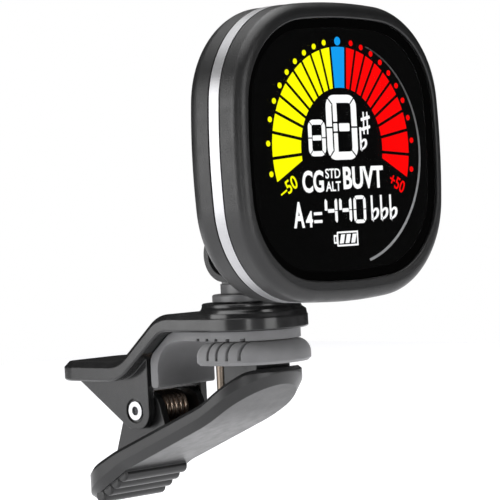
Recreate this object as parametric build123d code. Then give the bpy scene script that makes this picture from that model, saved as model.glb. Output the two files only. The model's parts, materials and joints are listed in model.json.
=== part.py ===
"""Clip-on tuner: a round-square display head on a tilting, swivelling neck above a sprung clip.

Millimetres. X is the width, -Y is the front (display and jaw tip), +Z is up.
The origin is the centre of the smooth grip flat on the upper jaw's rubber pad.
Each function returns one node; the script writes them as parts/NODE.step.
"""
from math import cos, hypot, radians, sin, sqrt
import os

from build123d import *

# ---- driving dimensions: clip -------------------------------------------------------------
SWIVEL_Y = -9.0                     # vertical swivel axis, in front of the grip flat
ARM_HALF_WIDTH = 9.86               # upper arm, and the radius of its round front end
ARM_TOP = 4.9                       # top of the level part of the upper arm
ARM_SLOPE_Y = SWIVEL_Y + 14.3       # where the level part turns down
ARM_FALL = 0.82                     # fall per millimetre of the sloping part
PAD_SEAT_Z = 1.75                   # underside of the level part, where the rubber pad is bonded
LEVER_TOP = -3.8                    # top and underside of the upper thumb lever
LEVER_UNDERSIDE = -7.25
LEVER_END_Y = SWIVEL_Y + 42.3
EAR_OUTER = 7.4                     # outer faces of the upper arm's two ears
EAR_THICKNESS = 1.5
EAR_RECESS = 0.5                    # shallow seat round each head of the pivot pin
PIN_Y = SWIVEL_Y + 23.4             # jaw pivot
PIN_Z = -12.65
PIN_RADIUS = 1.4
PIN_HEAD_RADIUS = 1.7
RUNNING = 0.05                      # radial clearance of a shaft that turns in a bore
COIL_RADIUS = 2.75                  # to the middle of the spring wire
WIRE_RADIUS = 0.5
COIL_TURNS = 5.5
COIL_PITCH = 1.15
UPPER_LEG = (16.0, 8.0)             # slope in degrees away from level, and length
LOWER_LEG = (36.0, 8.4)
LOWER_HALF_WIDTH = 9.7
LOWER_FRONT_Y = SWIVEL_Y + 1.9      # centre of the lower arm's round front end
LOWER_END_Y = SWIVEL_Y + 38.7
LOWER_EAR_OUTER = 5.6
LOWER_EAR_THICKNESS = 1.4
BOSS_HALF = 4.2                     # boss on the lower arm that takes the pad's lug
RIDGE_COUNT = 4                     # bars across the lower thumb grip
RIDGE_PITCH = 2.45
RIDGE_RADIUS = 1.3
RIDGE_HALF = 7.8
UPPER_PAD_RADIUS = 8.45
UPPER_GROOVES = 5
UPPER_GROOVE_PITCH = 2.6
LOWER_PAD_RADIUS = 10.1
LOWER_PAD_REAR = 5.3
LOWER_PAD_CORNER = 2.4
LOWER_PAD_LIP_Z = -3.4              # top of the pad's thin lip
LOWER_PAD_UNDERSIDE = -4.1
LOWER_GROOVES = 4
LOWER_GROOVE_PITCH = 2.1
LOWER_GROOVE_DEPTH = 0.55
JAW_GAP = 0.2                       # left between the two pads with the jaw closed
LUG_HALF = 3.0
POST_X = 3.0
POST_Y = SWIVEL_Y + 5.0
POST_RADIUS = 1.05
POST_FOOT_Z = -12.0

# ---- driving dimensions: neck -------------------------------------------------------------
TURRET_TOP = 6.45
TURRET_RADIUS = 8.65
TURRET_WALL = 1.4
NECK_DISC_Z = 6.75
NECK_DISC_RADIUS = 6.75
NECK_BLOCK_Z = 8.1
NECK_BLOCK_TOP = 9.75
NECK_BLOCK_RADIUS = 5.2
SWIVEL_SHAFT_RADIUS = 3.0
SWIVEL_SCREW_RADIUS = 1.0
SWIVEL_WASHER_THICKNESS = 0.5
HINGE_Z = 14.9                      # tilt axis, straight above the swivel axis
HINGE_RADIUS = 4.7
HINGE_PIN_RADIUS = 1.5
HINGE_HEAD_RADIUS = 2.8
HINGE_RECESS_RADIUS = 3.6
HINGE_RECESS = 0.9
HINGE_NUT_RADIUS = 2.8              # across the nut's corners, halved
HINGE_NUT_POCKET = 1.5
WASHER_THICKNESS = 0.3
TONGUE_HALF = 3.0
LUG_INNER = 3.5
LUG_OUTER = 6.4

# ---- driving dimensions: head -------------------------------------------------------------
HEAD_Z = 31.45                      # centre of the head's outline
HEAD_HALF_WIDTH = 25.6
HEAD_HALF_HEIGHT = 25.1
HEAD_CORNER = 17.0
HEAD_SIDE_RADIUS = 110.0            # the sides bulge slightly
HEAD_FRONT_Y = SWIVEL_Y - 24.4
BAND_FRONT_Y = SWIVEL_Y - 19.7
BAND_REAR_Y = SWIVEL_Y - 17.5
BAND_PROUD = 0.05
HEAD_REAR_Y = SWIVEL_Y - 11.3
FRONT_ROUND = 1.95                  # rounding of the case's front and rear edges
REAR_ROUND = 3.4
SEAM = 0.18                         # gap between the bezel and the trim band
REAR_SEAM = 0.35                    # gap between the trim band and the rear cover
WALL = 1.5
SPIGOT_WALL = 1.0
WINDOW_HALF_WIDTH = 23.4
WINDOW_HALF_HEIGHT = 22.0
WINDOW_CORNER = 14.8
WINDOW_RAISE = 0.4                  # the frame is broader below the window than above
WINDOW_FRONT_Y = SWIVEL_Y - 23.95
WINDOW_THICKNESS = 1.0
WINDOW_LEDGE = 1.6
LCD_HALF_WIDTH = 19.6
LCD_HALF_HEIGHT = 19.0
LCD_CORNER = 7.5
LCD_LEDGE = 1.6                     # bare strip of the rear glass that carries the contacts
LCD_FRONT_Y = SWIVEL_Y - 22.75
LCD_THICKNESS = 1.4
LCD_Z = HEAD_Z + 0.55               # the display sits a little above the middle of the head
LIGHT_HALF_WIDTH = 18.5
LIGHT_CORNER = 2.5
LIGHT_THICKNESS = 1.8
CONNECTOR_HALF_WIDTH = 14.0
BOARD_FRONT_Y = SWIVEL_Y - 18.6
BOARD_THICKNESS = 1.0
BOARD_REAR_Y = BOARD_FRONT_Y + BOARD_THICKNESS
CHIP_Z = HEAD_Z - 16.0
CHIP_HALF_WIDTH = 4.0
CHIP_HALF_HEIGHT = 3.0
CHIP_LEADS = 6                      # on each side
CHIP_LEAD_PITCH = 1.3
CELL_RADIUS = 10.0
CELL_THICKNESS = 3.2
CELL_CLEARANCE = 0.3
DOOR_Z = HEAD_Z + 2.0               # centre of the coin cell and its door
DOOR_RADIUS = 11.3
DOOR_THICKNESS = 1.4
DOOR_CLEARANCE = 0.15
DOOR_PROUD = 0.15
DOOR_FRONT_Y = HEAD_REAR_Y - DOOR_THICKNESS - DOOR_CLEARANCE
CELL_REAR_Y = DOOR_FRONT_Y - 0.4
CELL_FRONT_Y = CELL_REAR_Y - CELL_THICKNESS
WELL_FRONT_Y = BOARD_REAR_Y + 0.2
WELL_WALL = 0.8
CONTACT_THICKNESS = 0.25
BUTTON_Z = HEAD_Z + 18.2
BUTTON_SPACING = 10.0
BUTTON_RADIUS = 2.7
BUTTON_CLEARANCE = 0.15
BUTTON_STROKE = 0.5
BUTTON_PROUD = 0.8
BUTTON_FLANGE = 0.7
SWITCH_HALF = 2.0
SWITCH_BODY = 1.4
SWITCH_TIP_Y = BOARD_REAR_Y + 1.9
SCREW_X = 21.8                      # case screws, beside the display
SCREW_SPREAD = 8.0                  # and above and below the head's centre
SCREW_BOSS_RADIUS = 1.85
SCREW_RADIUS = 0.9
SCREW_HEAD_RADIUS = 1.65
SCREW_HEAD_DEPTH = 1.4
PICKUP_RADIUS = 4.6
PICKUP_THICKNESS = 0.25


def side_plane(x):
    """Plane whose drawing axes are Y and Z, facing +X."""
    return Plane(origin=(x, 0, 0), x_dir=(0, 1, 0), z_dir=(1, 0, 0))


def depth_plane(y, z=HEAD_Z):
    """Plane across the head, drawing axes X and Z, facing the front."""
    return Plane(origin=(0, y, z), x_dir=(1, 0, 0), z_dir=(0, -1, 0))


def level_plane(z, y=SWIVEL_Y):
    """Level plane at height z with its origin on the swivel axis."""
    return Plane(origin=(0, y, z))


def slab(face, x_from, x_to):
    """Extrude a side-plane sketch between two X positions."""
    return extrude(side_plane(x_from) * face, x_to - x_from)


def rod_x(radius, x_from, x_to, y, z):
    """Cylinder along X."""
    return slab(Pos(y, z) * Circle(radius), x_from, x_to)


def rod_y(radius, y_front, y_rear, x, z):
    """Cylinder along Y."""
    return extrude(depth_plane(y_rear, 0) * Pos(x, z) * Circle(radius), y_rear - y_front)


def rod_z(radius, z_low, z_high, x=0.0, y=SWIVEL_Y):
    """Cylinder along Z."""
    return extrude(Plane(origin=(x, y, z_low)) * Circle(radius), z_high - z_low)


def block(x_from, x_to, y_from, y_to, z_from, z_to):
    """Box given by its limits."""
    centre = ((x_from + x_to) / 2, (y_from + y_to) / 2, (z_from + z_to) / 2)
    return Pos(*centre) * Box(x_to - x_from, y_to - y_from, z_to - z_from)


def rounded_outline(corners):
    """Closed face through (u, v, radius) corners, each rounded by its own radius."""
    face = make_face(Polyline(*[(u, v) for u, v, _ in corners], close=True))
    for u, v, radius in corners:
        if radius:
            vertex = min(face.vertices(), key=lambda point: hypot(point.X - u, point.Y - v))
            face = fillet(vertex, radius)
    return face


def spoon(half_width, length, corner):
    """Plan shape round at the front (-Y) and square at the rear, with rounded rear corners."""
    front = ThreePointArc((-half_width, 0), (0, -half_width), (half_width, 0))
    rest = Polyline((half_width, 0), (half_width, length), (-half_width, length), (-half_width, 0))
    face = make_face([front, *rest.edges()])
    return fillet([v for v in face.vertices() if v.Y > length / 2], corner)


def soft_square(half_width, half_height, corner):
    """Rounded square whose four sides bulge a little, from eight tangent arcs."""
    big = HEAD_SIDE_RADIUS
    top, side = Vector(0, half_height - big), Vector(half_width - big, 0)
    middle, gap = (top + side) / 2, (side - top)
    reach = sqrt((big - corner) ** 2 - (gap.length / 2) ** 2)
    centre = middle + Vector(gap.Y, -gap.X).normalized() * reach
    to_top, to_side = (centre - top).normalized(), (centre - side).normalized()
    a, b = top + to_top * big, side + to_side * big
    knee = centre + (to_top + to_side).normalized() * corner
    arcs = []
    for sx, sy in ((1, 1), (1, -1), (-1, -1), (-1, 1)):
        arcs.append(ThreePointArc((sx * a.X, sy * a.Y), (sx * knee.X, sy * knee.Y), (sx * b.X, sy * b.Y)))
    for sign in (1, -1):
        arcs.append(ThreePointArc((-a.X, sign * a.Y), (0, sign * half_height), (a.X, sign * a.Y)))
        arcs.append(ThreePointArc((sign * b.X, -b.Y), (sign * half_width, 0), (sign * b.X, b.Y)))
    return make_face(Wire.combine(arcs)[0])


def head_outline(inset=0.0):
    """The head's outline, drawn in by an even inset."""
    return soft_square(HEAD_HALF_WIDTH - inset, HEAD_HALF_HEIGHT - inset, HEAD_CORNER - inset)


def window_outline(inset=0.0):
    """The window's outline, drawn in by an even inset."""
    outline = soft_square(WINDOW_HALF_WIDTH - inset, WINDOW_HALF_HEIGHT - inset, WINDOW_CORNER - inset)
    return Pos(0, WINDOW_RAISE) * outline


def across(face, y_front, y_rear):
    """Extrude a head sketch between two depths."""
    return extrude(depth_plane(y_rear) * face, y_rear - y_front)


def rim_edges(solid, facing):
    """Edges that bound the group of faces turned towards +Z (facing 1) or -Z (facing -1)."""
    faces = [f for f in solid.faces() if f.normal_at().Z * facing > 0.35]
    seen = {}
    for face in faces:
        for edge in face.edges():
            middle = edge @ 0.5
            key = (round(middle.X, 3), round(middle.Y, 3), round(middle.Z, 3))
            seen.setdefault(key, []).append(edge)
    return [edges[0] for edges in seen.values() if len(edges) == 1]


# ---- clip ---------------------------------------------------------------------------------
def upper_plate():
    """Bent strip of the upper arm, round at the front, with bevelled rims."""
    run = (ARM_TOP - LEVER_TOP) / ARM_FALL
    front, slope = SWIVEL_Y - 14.0, ARM_SLOPE_Y
    profile = rounded_outline([
        (front, ARM_TOP, 0), (slope, ARM_TOP, 8.0), (slope + run, LEVER_TOP, 7.0),
        (LEVER_END_Y, LEVER_TOP, 0), (LEVER_END_Y, LEVER_UNDERSIDE, 0),
        (slope + run - 0.1, LEVER_UNDERSIDE, 9.0), (slope - 0.9, PAD_SEAT_Z, 5.0),
        (front, PAD_SEAT_Z, 0)])
    plan = spoon(ARM_HALF_WIDTH, LEVER_END_Y - SWIVEL_Y, 5.0)
    plate = slab(profile, -12, 12) & extrude(level_plane(-20) * plan, 40)
    plate = chamfer(rim_edges(plate, 1), 1.0)
    return chamfer(rim_edges(plate, -1), 0.3)


def turret_body():
    """Stepped, flared turret on the round end of the upper arm."""
    flare_z, foot = 5.9, ARM_HALF_WIDTH
    section = make_face(Polyline(
        (0, PAD_SEAT_Z), (foot - 0.2, PAD_SEAT_Z), (foot, PAD_SEAT_Z + 0.2), (foot - 0.1, 3.9),
        (foot - 0.25, 4.85), (TURRET_RADIUS + 0.25, 5.35), (TURRET_RADIUS, flare_z),
        (TURRET_RADIUS, TURRET_TOP - 0.15), (TURRET_RADIUS - 0.15, TURRET_TOP), (0, TURRET_TOP),
        close=True))
    return revolve(depth_plane(SWIVEL_Y, 0) * section, Axis((0, SWIVEL_Y, 0), (0, 0, 1)))


def upper_ear(x_from):
    """One of the two plates that hang from the upper arm and hold the pivot pin."""
    front = PIN_Y - 3.7
    outline = rounded_outline([
        (front, 0.6, 0.3), (front, PIN_Z - 3.4, 3.0), (PIN_Y + 1.6, PIN_Z - 3.2, 2.6),
        (SWIVEL_Y + 38.3, -7.0, 0.3), (PIN_Y + 6.0, LEVER_UNDERSIDE + 1.2, 0.3)])
    return slab(outline, x_from, x_from + EAR_THICKNESS)


def upper_arm():
    plate = upper_plate()
    under = slab(make_face(Polyline(
        (SWIVEL_Y + 12.2, 3.5), (SWIVEL_Y + 15.4, 3.0), (SWIVEL_Y + 26.0, -5.6), (LEVER_END_Y - 2, -5.4),
        (LEVER_END_Y - 2, -16.5), (SWIVEL_Y + 12.2, -16.5), close=True)), -8, 8)
    arm = plate + turret_body()
    for x_from in (-EAR_OUTER, EAR_OUTER - EAR_THICKNESS):
        arm += upper_ear(x_from) & under
        arm -= rod_x(PIN_RADIUS, x_from, x_from + EAR_THICKNESS, PIN_Y, PIN_Z)
    for side in (-1, 1):
        recess = sorted((side * EAR_OUTER, side * (EAR_OUTER - EAR_RECESS)))
        arm -= rod_x(PIN_HEAD_RADIUS + 0.5, *recess, PIN_Y, PIN_Z)
    thumb_radius, thumb_depth, thumb_width = 23.0, 0.7, 13.6
    dish = Rotation(0, 90, 0) * Cylinder(thumb_radius, thumb_width)
    arm -= Pos(0, LEVER_END_Y - 7.6, LEVER_TOP + thumb_radius - thumb_depth) * dish
    cavity = rod_z(TURRET_RADIUS - TURRET_WALL, PAD_SEAT_Z, TURRET_TOP - TURRET_WALL)
    return arm - cavity - rod_z(SWIVEL_SHAFT_RADIUS + RUNNING, PAD_SEAT_Z, TURRET_TOP)


def upper_pad_blank():
    """Flat rubber tongue that turns down into the throat wall."""
    wall_half, seat, inner, fall = 7.1, PAD_SEAT_Z, 0.0, 0.8
    wall_front, wall_rear, wall_end = SWIVEL_Y + 17.1, SWIVEL_Y + 18.9, -8.4
    bend = SWIVEL_Y + 13.2
    front = SWIVEL_Y - 12
    profile = rounded_outline([
        (front, inner, 0.2), (wall_front, inner, 5.4), (wall_front, wall_end, 0.6),
        (wall_rear, wall_end, 0.6), (wall_rear, seat - fall * (wall_rear - bend), 3.0), (bend, seat, 5.0),
        (front, seat, 0.2)])
    sides = make_face(Polyline(
        (-UPPER_PAD_RADIUS, 0), (-wall_half, 10), (-wall_half, 20), (wall_half, 20), (wall_half, 10),
        (UPPER_PAD_RADIUS, 0), close=True))
    plan = Circle(UPPER_PAD_RADIUS) + sides
    return slab(profile, -10, 10) & extrude(level_plane(-12) * plan, 20)


def upper_pad():
    pad = upper_pad_blank()
    for step in range(UPPER_GROOVES):
        groove = SWIVEL_Y + 5.9 - UPPER_GROOVE_PITCH * step
        pad -= block(-10, 10, groove - 0.4, groove + 0.4, -1, 0.5)
    return pad


def pivot_pin():
    """Tubular rivet whose two rolled heads sit in the ear recesses."""
    seat, face = EAR_OUTER - EAR_RECESS, EAR_OUTER - 0.08
    pin = rod_x(PIN_RADIUS, -seat, seat, PIN_Y, PIN_Z)
    pin += rod_x(PIN_HEAD_RADIUS, -face, -seat, PIN_Y, PIN_Z)
    pin += rod_x(PIN_HEAD_RADIUS, seat, face, PIN_Y, PIN_Z)
    for x_from, x_to in ((-face, -face + 2.5), (face - 2.5, face)):
        pin -= rod_x(0.8, x_from, x_to, PIN_Y, PIN_Z)
    return pin


def torsion_spring():
    """Closed coil round the pivot pin with one leg under each lever."""
    half = COIL_TURNS * COIL_PITCH / 2
    coil = Helix(COIL_PITCH, 2 * half, COIL_RADIUS)
    body = sweep(Plane(origin=coil @ 0, z_dir=coil % 0) * Circle(WIRE_RADIUS), path=coil)
    body = Pos(-half, PIN_Y, PIN_Z) * Rotation(0, 90, 0) * Rotation(0, 0, 180) * body
    for x, side, (slope, length) in ((-half, 1, UPPER_LEG), (half, -1, LOWER_LEG)):
        lean = radians(slope)
        start = (x, PIN_Y - 0.15, PIN_Z + side * COIL_RADIUS)
        leg = Plane(origin=start, z_dir=(0, cos(lean), side * sin(lean)))
        body += extrude(leg * Circle(WIRE_RADIUS), length)
    return body


def lower_profile():
    """Side view of the lower arm: jaw tip at the front, thumb grip at the rear."""
    y = SWIVEL_Y
    return rounded_outline([
        (y - 9.0, -4.9, 0), (y - 4.6, -5.1, 4.0), (y + 4.5, -10.9, 20.0), (y + 27.5, -20.0, 30.0),
        (y + 38.0, -25.2, 1.5), (y + 39.6, -31.6, 0), (y + 25.5, -23.3, 9.0),
        (y + 3.0, -14.1, 45.0), (y - 9.0, -6.4, 0)])


def lower_plate():
    """Spoon-shaped strip of the lower arm with a broad bevel round its outer face."""
    plan = spoon(LOWER_HALF_WIDTH, LOWER_END_Y - LOWER_FRONT_Y, 8.0)
    plate = slab(lower_profile(), -12, 12) & extrude(level_plane(-40, LOWER_FRONT_Y) * plan, 50)
    plate = chamfer(rim_edges(plate, 1), 0.6)
    return chamfer(rim_edges(plate, -1), 1.4)


def lower_ear(x_from):
    """Plate of the lower arm that turns on the pivot pin."""
    outline = rounded_outline([
        (PIN_Y - 4.0, PIN_Z + 3.2, 3.0), (PIN_Y + 3.2, PIN_Z + 3.2, 3.0), (SWIVEL_Y + 31.4, -22.5, 0.3),
        (SWIVEL_Y + 17.2, -18.2, 0.3), (SWIVEL_Y + 17.5, -15.5, 0.8)])
    return slab(outline, x_from, x_from + LOWER_EAR_THICKNESS)


def thumb_ridges():
    """Rounded bars across the outer face of the thumb grip."""
    bars = []
    ramp = Vector(7.0, -4.75).normalized()
    for step in range(RIDGE_COUNT):
        along = 1.3 + RIDGE_PITCH * step
        y, z = SWIVEL_Y + 26.3 + ramp.X * along, -23.6 + ramp.Y * along
        bar = rod_x(RIDGE_RADIUS, -RIDGE_HALF, RIDGE_HALF, y, z)
        bars.append(fillet(bar.edges().filter_by(GeomType.CIRCLE), 0.5))
    return bars


def lower_arm():
    arm = lower_plate()
    for x_from in (-LOWER_EAR_OUTER, LOWER_EAR_OUTER - LOWER_EAR_THICKNESS):
        arm += lower_ear(x_from)
        arm -= rod_x(PIN_RADIUS + RUNNING, x_from, x_from + LOWER_EAR_THICKNESS, PIN_Y, PIN_Z)
    for bar in thumb_ridges():
        arm += bar
    boss = make_face(Polyline(
        (-4.6, LOWER_PAD_UNDERSIDE), (3.4, LOWER_PAD_UNDERSIDE), (3.4, -11.5), (-4.6, -6.5), close=True))
    arm += slab(Pos(SWIVEL_Y, 0) * boss, -BOSS_HALF, BOSS_HALF)
    arm -= block(-LUG_HALF, LUG_HALF, SWIVEL_Y - 0.4, SWIVEL_Y + 3.5, -6.7, -3.0)
    for x in (-POST_X, POST_X):
        arm -= rod_z(POST_RADIUS, POST_FOOT_Z, -6.0, x, POST_Y)
    return arm


def lower_pad_blank(inset, top):
    """Rounded rubber block of the lower pad, drawn in by an inset."""
    plan = spoon(LOWER_PAD_RADIUS - inset, LOWER_PAD_REAR - inset, LOWER_PAD_CORNER)
    pad = extrude(level_plane(LOWER_PAD_LIP_Z) * plan, top - LOWER_PAD_LIP_Z)
    edges = [e for e in pad.edges() if abs((e @ 0.5).Z - top) < 0.01 and abs((e @ 0).Z - top) < 0.01]
    return fillet(edges, 2.5 - inset)


def lower_pad():
    """Lower grip pad: ribbed block, thin lip and the lug that plugs into the arm."""
    pad = lower_pad_blank(0.0, -JAW_GAP)
    lip = spoon(LOWER_PAD_RADIUS, LOWER_PAD_REAR, LOWER_PAD_CORNER)
    lip = extrude(level_plane(LOWER_PAD_UNDERSIDE) * lip, LOWER_PAD_LIP_Z - LOWER_PAD_UNDERSIDE)
    low_rim = [e for e in lip.edges() if abs((e @ 0.5).Z - LOWER_PAD_UNDERSIDE) < 0.01]
    pad += chamfer(low_rim, 0.5)
    core = lower_pad_blank(LOWER_GROOVE_DEPTH, -JAW_GAP - LOWER_GROOVE_DEPTH)
    for step in range(LOWER_GROOVES):
        groove = SWIVEL_Y + 1.3 - LOWER_GROOVE_PITCH * step
        slot = block(-12, 12, groove - 0.3, groove + 0.3, -3.2, 0.5)
        pad -= slot - core
    lug = make_face(Polyline((-0.4, -6.6), (2.4, -6.6), (3.2, -3.9), (-0.4, -3.9), close=True))
    return pad + slab(Pos(SWIVEL_Y, 0) * lug, -LUG_HALF, LUG_HALF)


def pad_posts():
    """Two metal posts that carry the rear of the lower pad."""
    posts = Part()
    for x in (-POST_X, POST_X):
        posts += rod_z(POST_RADIUS, POST_FOOT_Z, LOWER_PAD_UNDERSIDE, x, POST_Y)
    return posts


# ---- neck ---------------------------------------------------------------------------------
def swivel_neck():
    """Swivel disc, block and tongue, on a shaft that turns in the turret."""
    disc = rod_z(NECK_DISC_RADIUS, NECK_DISC_Z, NECK_BLOCK_Z - 0.15)
    disc = fillet([e for e in disc.edges() if (e @ 0.5).Z > NECK_DISC_Z + 0.5], 0.35)
    neck = disc + rod_z(NECK_BLOCK_RADIUS - 0.25, NECK_BLOCK_Z - 0.2, NECK_BLOCK_Z)
    neck += rod_z(NECK_BLOCK_RADIUS, NECK_BLOCK_Z, NECK_BLOCK_TOP)
    neck += rod_z(SWIVEL_SHAFT_RADIUS, TURRET_TOP - TURRET_WALL, NECK_DISC_Z)
    tongue = Pos(SWIVEL_Y, HINGE_Z) * Circle(4.2)
    tongue += Pos(SWIVEL_Y, (HINGE_Z + 9) / 2) * Rectangle(8.0, HINGE_Z - 9)
    neck += slab(tongue, -TONGUE_HALF, TONGUE_HALF)
    neck -= rod_x(HINGE_PIN_RADIUS + RUNNING, -TONGUE_HALF, TONGUE_HALF, SWIVEL_Y, HINGE_Z)
    return neck - rod_z(SWIVEL_SCREW_RADIUS, PAD_SEAT_Z, NECK_BLOCK_TOP + 0.75)


def swivel_washer():
    """Spring washer that presses the neck down on the turret."""
    top = TURRET_TOP - TURRET_WALL - 0.05
    low = top - SWIVEL_WASHER_THICKNESS
    return rod_z(5.6, low, top) - rod_z(SWIVEL_SCREW_RADIUS + 0.2, low, top)


def swivel_screw():
    """Pan-head screw that holds the neck and its washer from inside the turret."""
    seat = TURRET_TOP - TURRET_WALL - 0.05 - SWIVEL_WASHER_THICKNESS
    head = rod_z(2.2, seat - 1.4, seat)
    head = fillet([e for e in head.edges() if (e @ 0.5).Z < seat - 1], 0.5)
    screw = head + rod_z(SWIVEL_SCREW_RADIUS, seat, NECK_BLOCK_TOP + 0.5)
    for angle in (0, 90):
        screw -= Pos(0, SWIVEL_Y, seat - 1.2) * Rotation(0, 0, angle) * Box(2.6, 0.5, 0.8)
    return screw


def hinge_pin():
    """Headed cross pin through the head's lugs and the neck's tongue."""
    seat = -LUG_OUTER + HINGE_RECESS
    pin = rod_x(HINGE_HEAD_RADIUS, -LUG_OUTER + 0.1, seat, SWIVEL_Y, HINGE_Z)
    pin += rod_x(HINGE_PIN_RADIUS, seat, LUG_OUTER - 0.3, SWIVEL_Y, HINGE_Z)
    slot = Pos(-LUG_OUTER, SWIVEL_Y, HINGE_Z) * Box(1.0, 3.8, 0.6)
    return pin - slot


def nut_prism(height):
    """Hexagonal prism standing on the floor of the far lug's nut pocket."""
    face = Pos(SWIVEL_Y, HINGE_Z) * RegularPolygon(HINGE_NUT_RADIUS, 6)
    return extrude(side_plane(LUG_OUTER - HINGE_NUT_POCKET) * face, height)


def hinge_nut():
    """Hexagonal nut let into the far lug."""
    return nut_prism(1.2) - rod_x(HINGE_PIN_RADIUS, 0, LUG_OUTER, SWIVEL_Y, HINGE_Z)


def hinge_washers():
    """Friction washers, one on the inner face of each lug."""
    washers = Part()
    inner = LUG_INNER - WASHER_THICKNESS
    for x_from, x_to in ((-LUG_INNER, -inner), (inner, LUG_INNER)):
        ring = rod_x(3.9, x_from, x_to, SWIVEL_Y, HINGE_Z)
        washers += ring - rod_x(HINGE_PIN_RADIUS, x_from, x_to, SWIVEL_Y, HINGE_Z)
    return washers


# ---- head ---------------------------------------------------------------------------------
def front_bezel():
    """Front ring of the case, softly rounded, with the window rebate and screw bosses."""
    ring = across(head_outline(), HEAD_FRONT_Y, BAND_FRONT_Y - SEAM)
    outer = [e for e in ring.edges() if abs((e @ 0.5).Y - HEAD_FRONT_Y) < 0.01]
    ring = fillet(outer, FRONT_ROUND)
    ledge_y = WINDOW_FRONT_Y + WINDOW_THICKNESS
    ring -= across(window_outline(), HEAD_FRONT_Y - 1, ledge_y)
    front_face = ring.faces().sort_by(Axis.Y)[0]
    ring = chamfer(front_face.inner_wires()[0].edges(), 0.15)
    ring -= across(window_outline(WINDOW_LEDGE), HEAD_FRONT_Y, BAND_FRONT_Y)
    ring -= across(head_outline(WALL), ledge_y + 1.2, BAND_FRONT_Y)
    spigot = across(head_outline(WALL), BAND_FRONT_Y - 2.0, BAND_REAR_Y - 0.6)
    ring += spigot - across(head_outline(WALL + SPIGOT_WALL), BAND_FRONT_Y - 3, BAND_REAR_Y)
    for x, z in screw_places():
        ring += rod_y(SCREW_BOSS_RADIUS, BAND_FRONT_Y - 2.2, BOARD_FRONT_Y - 0.1, x, z)
        ring -= rod_y(SCREW_RADIUS, BAND_FRONT_Y - 1.6, BOARD_FRONT_Y, x, z)
    return ring


def trim_band():
    """Thin metal band between the two case halves."""
    band = across(head_outline(-BAND_PROUD), BAND_FRONT_Y, BAND_REAR_Y)
    return band - across(head_outline(WALL), BAND_FRONT_Y - 1, BAND_REAR_Y + 1)


def screw_places():
    """X and Z of the four case screws."""
    return [(x, HEAD_Z + z) for x in (-SCREW_X, SCREW_X) for z in (-SCREW_SPREAD, SCREW_SPREAD)]


def button_places():
    """X positions of the three rear buttons."""
    return (-BUTTON_SPACING, 0.0, BUTTON_SPACING)


def head_lugs():
    """Pair of hinge lugs on the back of the rear cover, with room for pin head and nut."""
    root = HEAD_REAR_Y - 0.8
    outline = Pos(SWIVEL_Y, HINGE_Z) * Circle(HINGE_RADIUS)
    outline += make_face(Polyline(
        (root, HINGE_Z - 5.4), (SWIVEL_Y, HINGE_Z - HINGE_RADIUS), (SWIVEL_Y, HINGE_Z + HINGE_RADIUS),
        (root, HINGE_Z + 6.4), close=True))
    lugs = slab(outline, -LUG_OUTER, -LUG_INNER) + slab(outline, LUG_INNER, LUG_OUTER)
    lugs -= rod_x(HINGE_PIN_RADIUS, -LUG_OUTER, LUG_OUTER, SWIVEL_Y, HINGE_Z)
    lugs -= rod_x(HINGE_RECESS_RADIUS, -LUG_OUTER, -LUG_OUTER + HINGE_RECESS, SWIVEL_Y, HINGE_Z)
    return lugs - nut_prism(HINGE_NUT_POCKET)


def rear_cover():
    """Rear half of the case: wall, battery well, button holes, screw posts and hinge lugs."""
    shell = across(head_outline(), BAND_REAR_Y + REAR_SEAM, HEAD_REAR_Y)
    back = [e for e in shell.edges() if abs((e @ 0.5).Y - HEAD_REAR_Y) < 0.01]
    shell = fillet(back, REAR_ROUND)
    inside = across(head_outline(WALL), BAND_REAR_Y - 1, HEAD_REAR_Y - WALL)
    hollow_back = [e for e in inside.edges() if abs((e @ 0.5).Y - (HEAD_REAR_Y - WALL)) < 0.01]
    shell -= fillet(hollow_back, REAR_ROUND - WALL)
    for x, z in screw_places():
        shell += rod_y(SCREW_BOSS_RADIUS, BOARD_REAR_Y + 0.1, HEAD_REAR_Y - WALL / 2, x, z)
        shell -= rod_y(SCREW_RADIUS + 0.2, BAND_REAR_Y - 2, HEAD_REAR_Y, x, z)
        shell -= rod_y(SCREW_HEAD_RADIUS + 0.1, HEAD_REAR_Y - SCREW_HEAD_DEPTH, HEAD_REAR_Y + 1, x, z)
    bore = rod_y(CELL_RADIUS + CELL_CLEARANCE, WELL_FRONT_Y - 1, HEAD_REAR_Y + 1, 0, DOOR_Z)
    shell += rod_y(DOOR_RADIUS + WELL_WALL, WELL_FRONT_Y, HEAD_REAR_Y - WALL / 2, 0, DOOR_Z)
    shell -= bore
    shell -= rod_y(DOOR_RADIUS + DOOR_CLEARANCE, DOOR_FRONT_Y, HEAD_REAR_Y + 1, 0, DOOR_Z)
    for x in button_places():
        shell -= rod_y(BUTTON_RADIUS + BUTTON_CLEARANCE, HEAD_REAR_Y - 4, HEAD_REAR_Y + 1, x, BUTTON_Z)
    return shell + head_lugs()


def battery_door():
    """Round battery door with a coin slot, turned to unlock."""
    door = rod_y(DOOR_RADIUS, HEAD_REAR_Y - DOOR_THICKNESS, HEAD_REAR_Y + DOOR_PROUD, 0, DOOR_Z)
    rim = [e for e in door.edges() if (e @ 0.5).Y > HEAD_REAR_Y]
    door = fillet(rim, 0.3)
    slot = SlotOverall(13.0, 1.8)
    return door - extrude(depth_plane(HEAD_REAR_Y + 1, DOOR_Z) * slot, 1.7)


def coin_cell():
    """Coin cell: wide can with a smaller raised negative cap towards the front."""
    can = rod_y(CELL_RADIUS, CELL_FRONT_Y + 0.4, CELL_REAR_Y, 0, DOOR_Z)
    can = fillet([e for e in can.edges() if (e @ 0.5).Y > CELL_REAR_Y - 0.1], 0.4)
    return can + rod_y(CELL_RADIUS - 1.2, CELL_FRONT_Y, CELL_REAR_Y - 1, 0, DOOR_Z)


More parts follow.
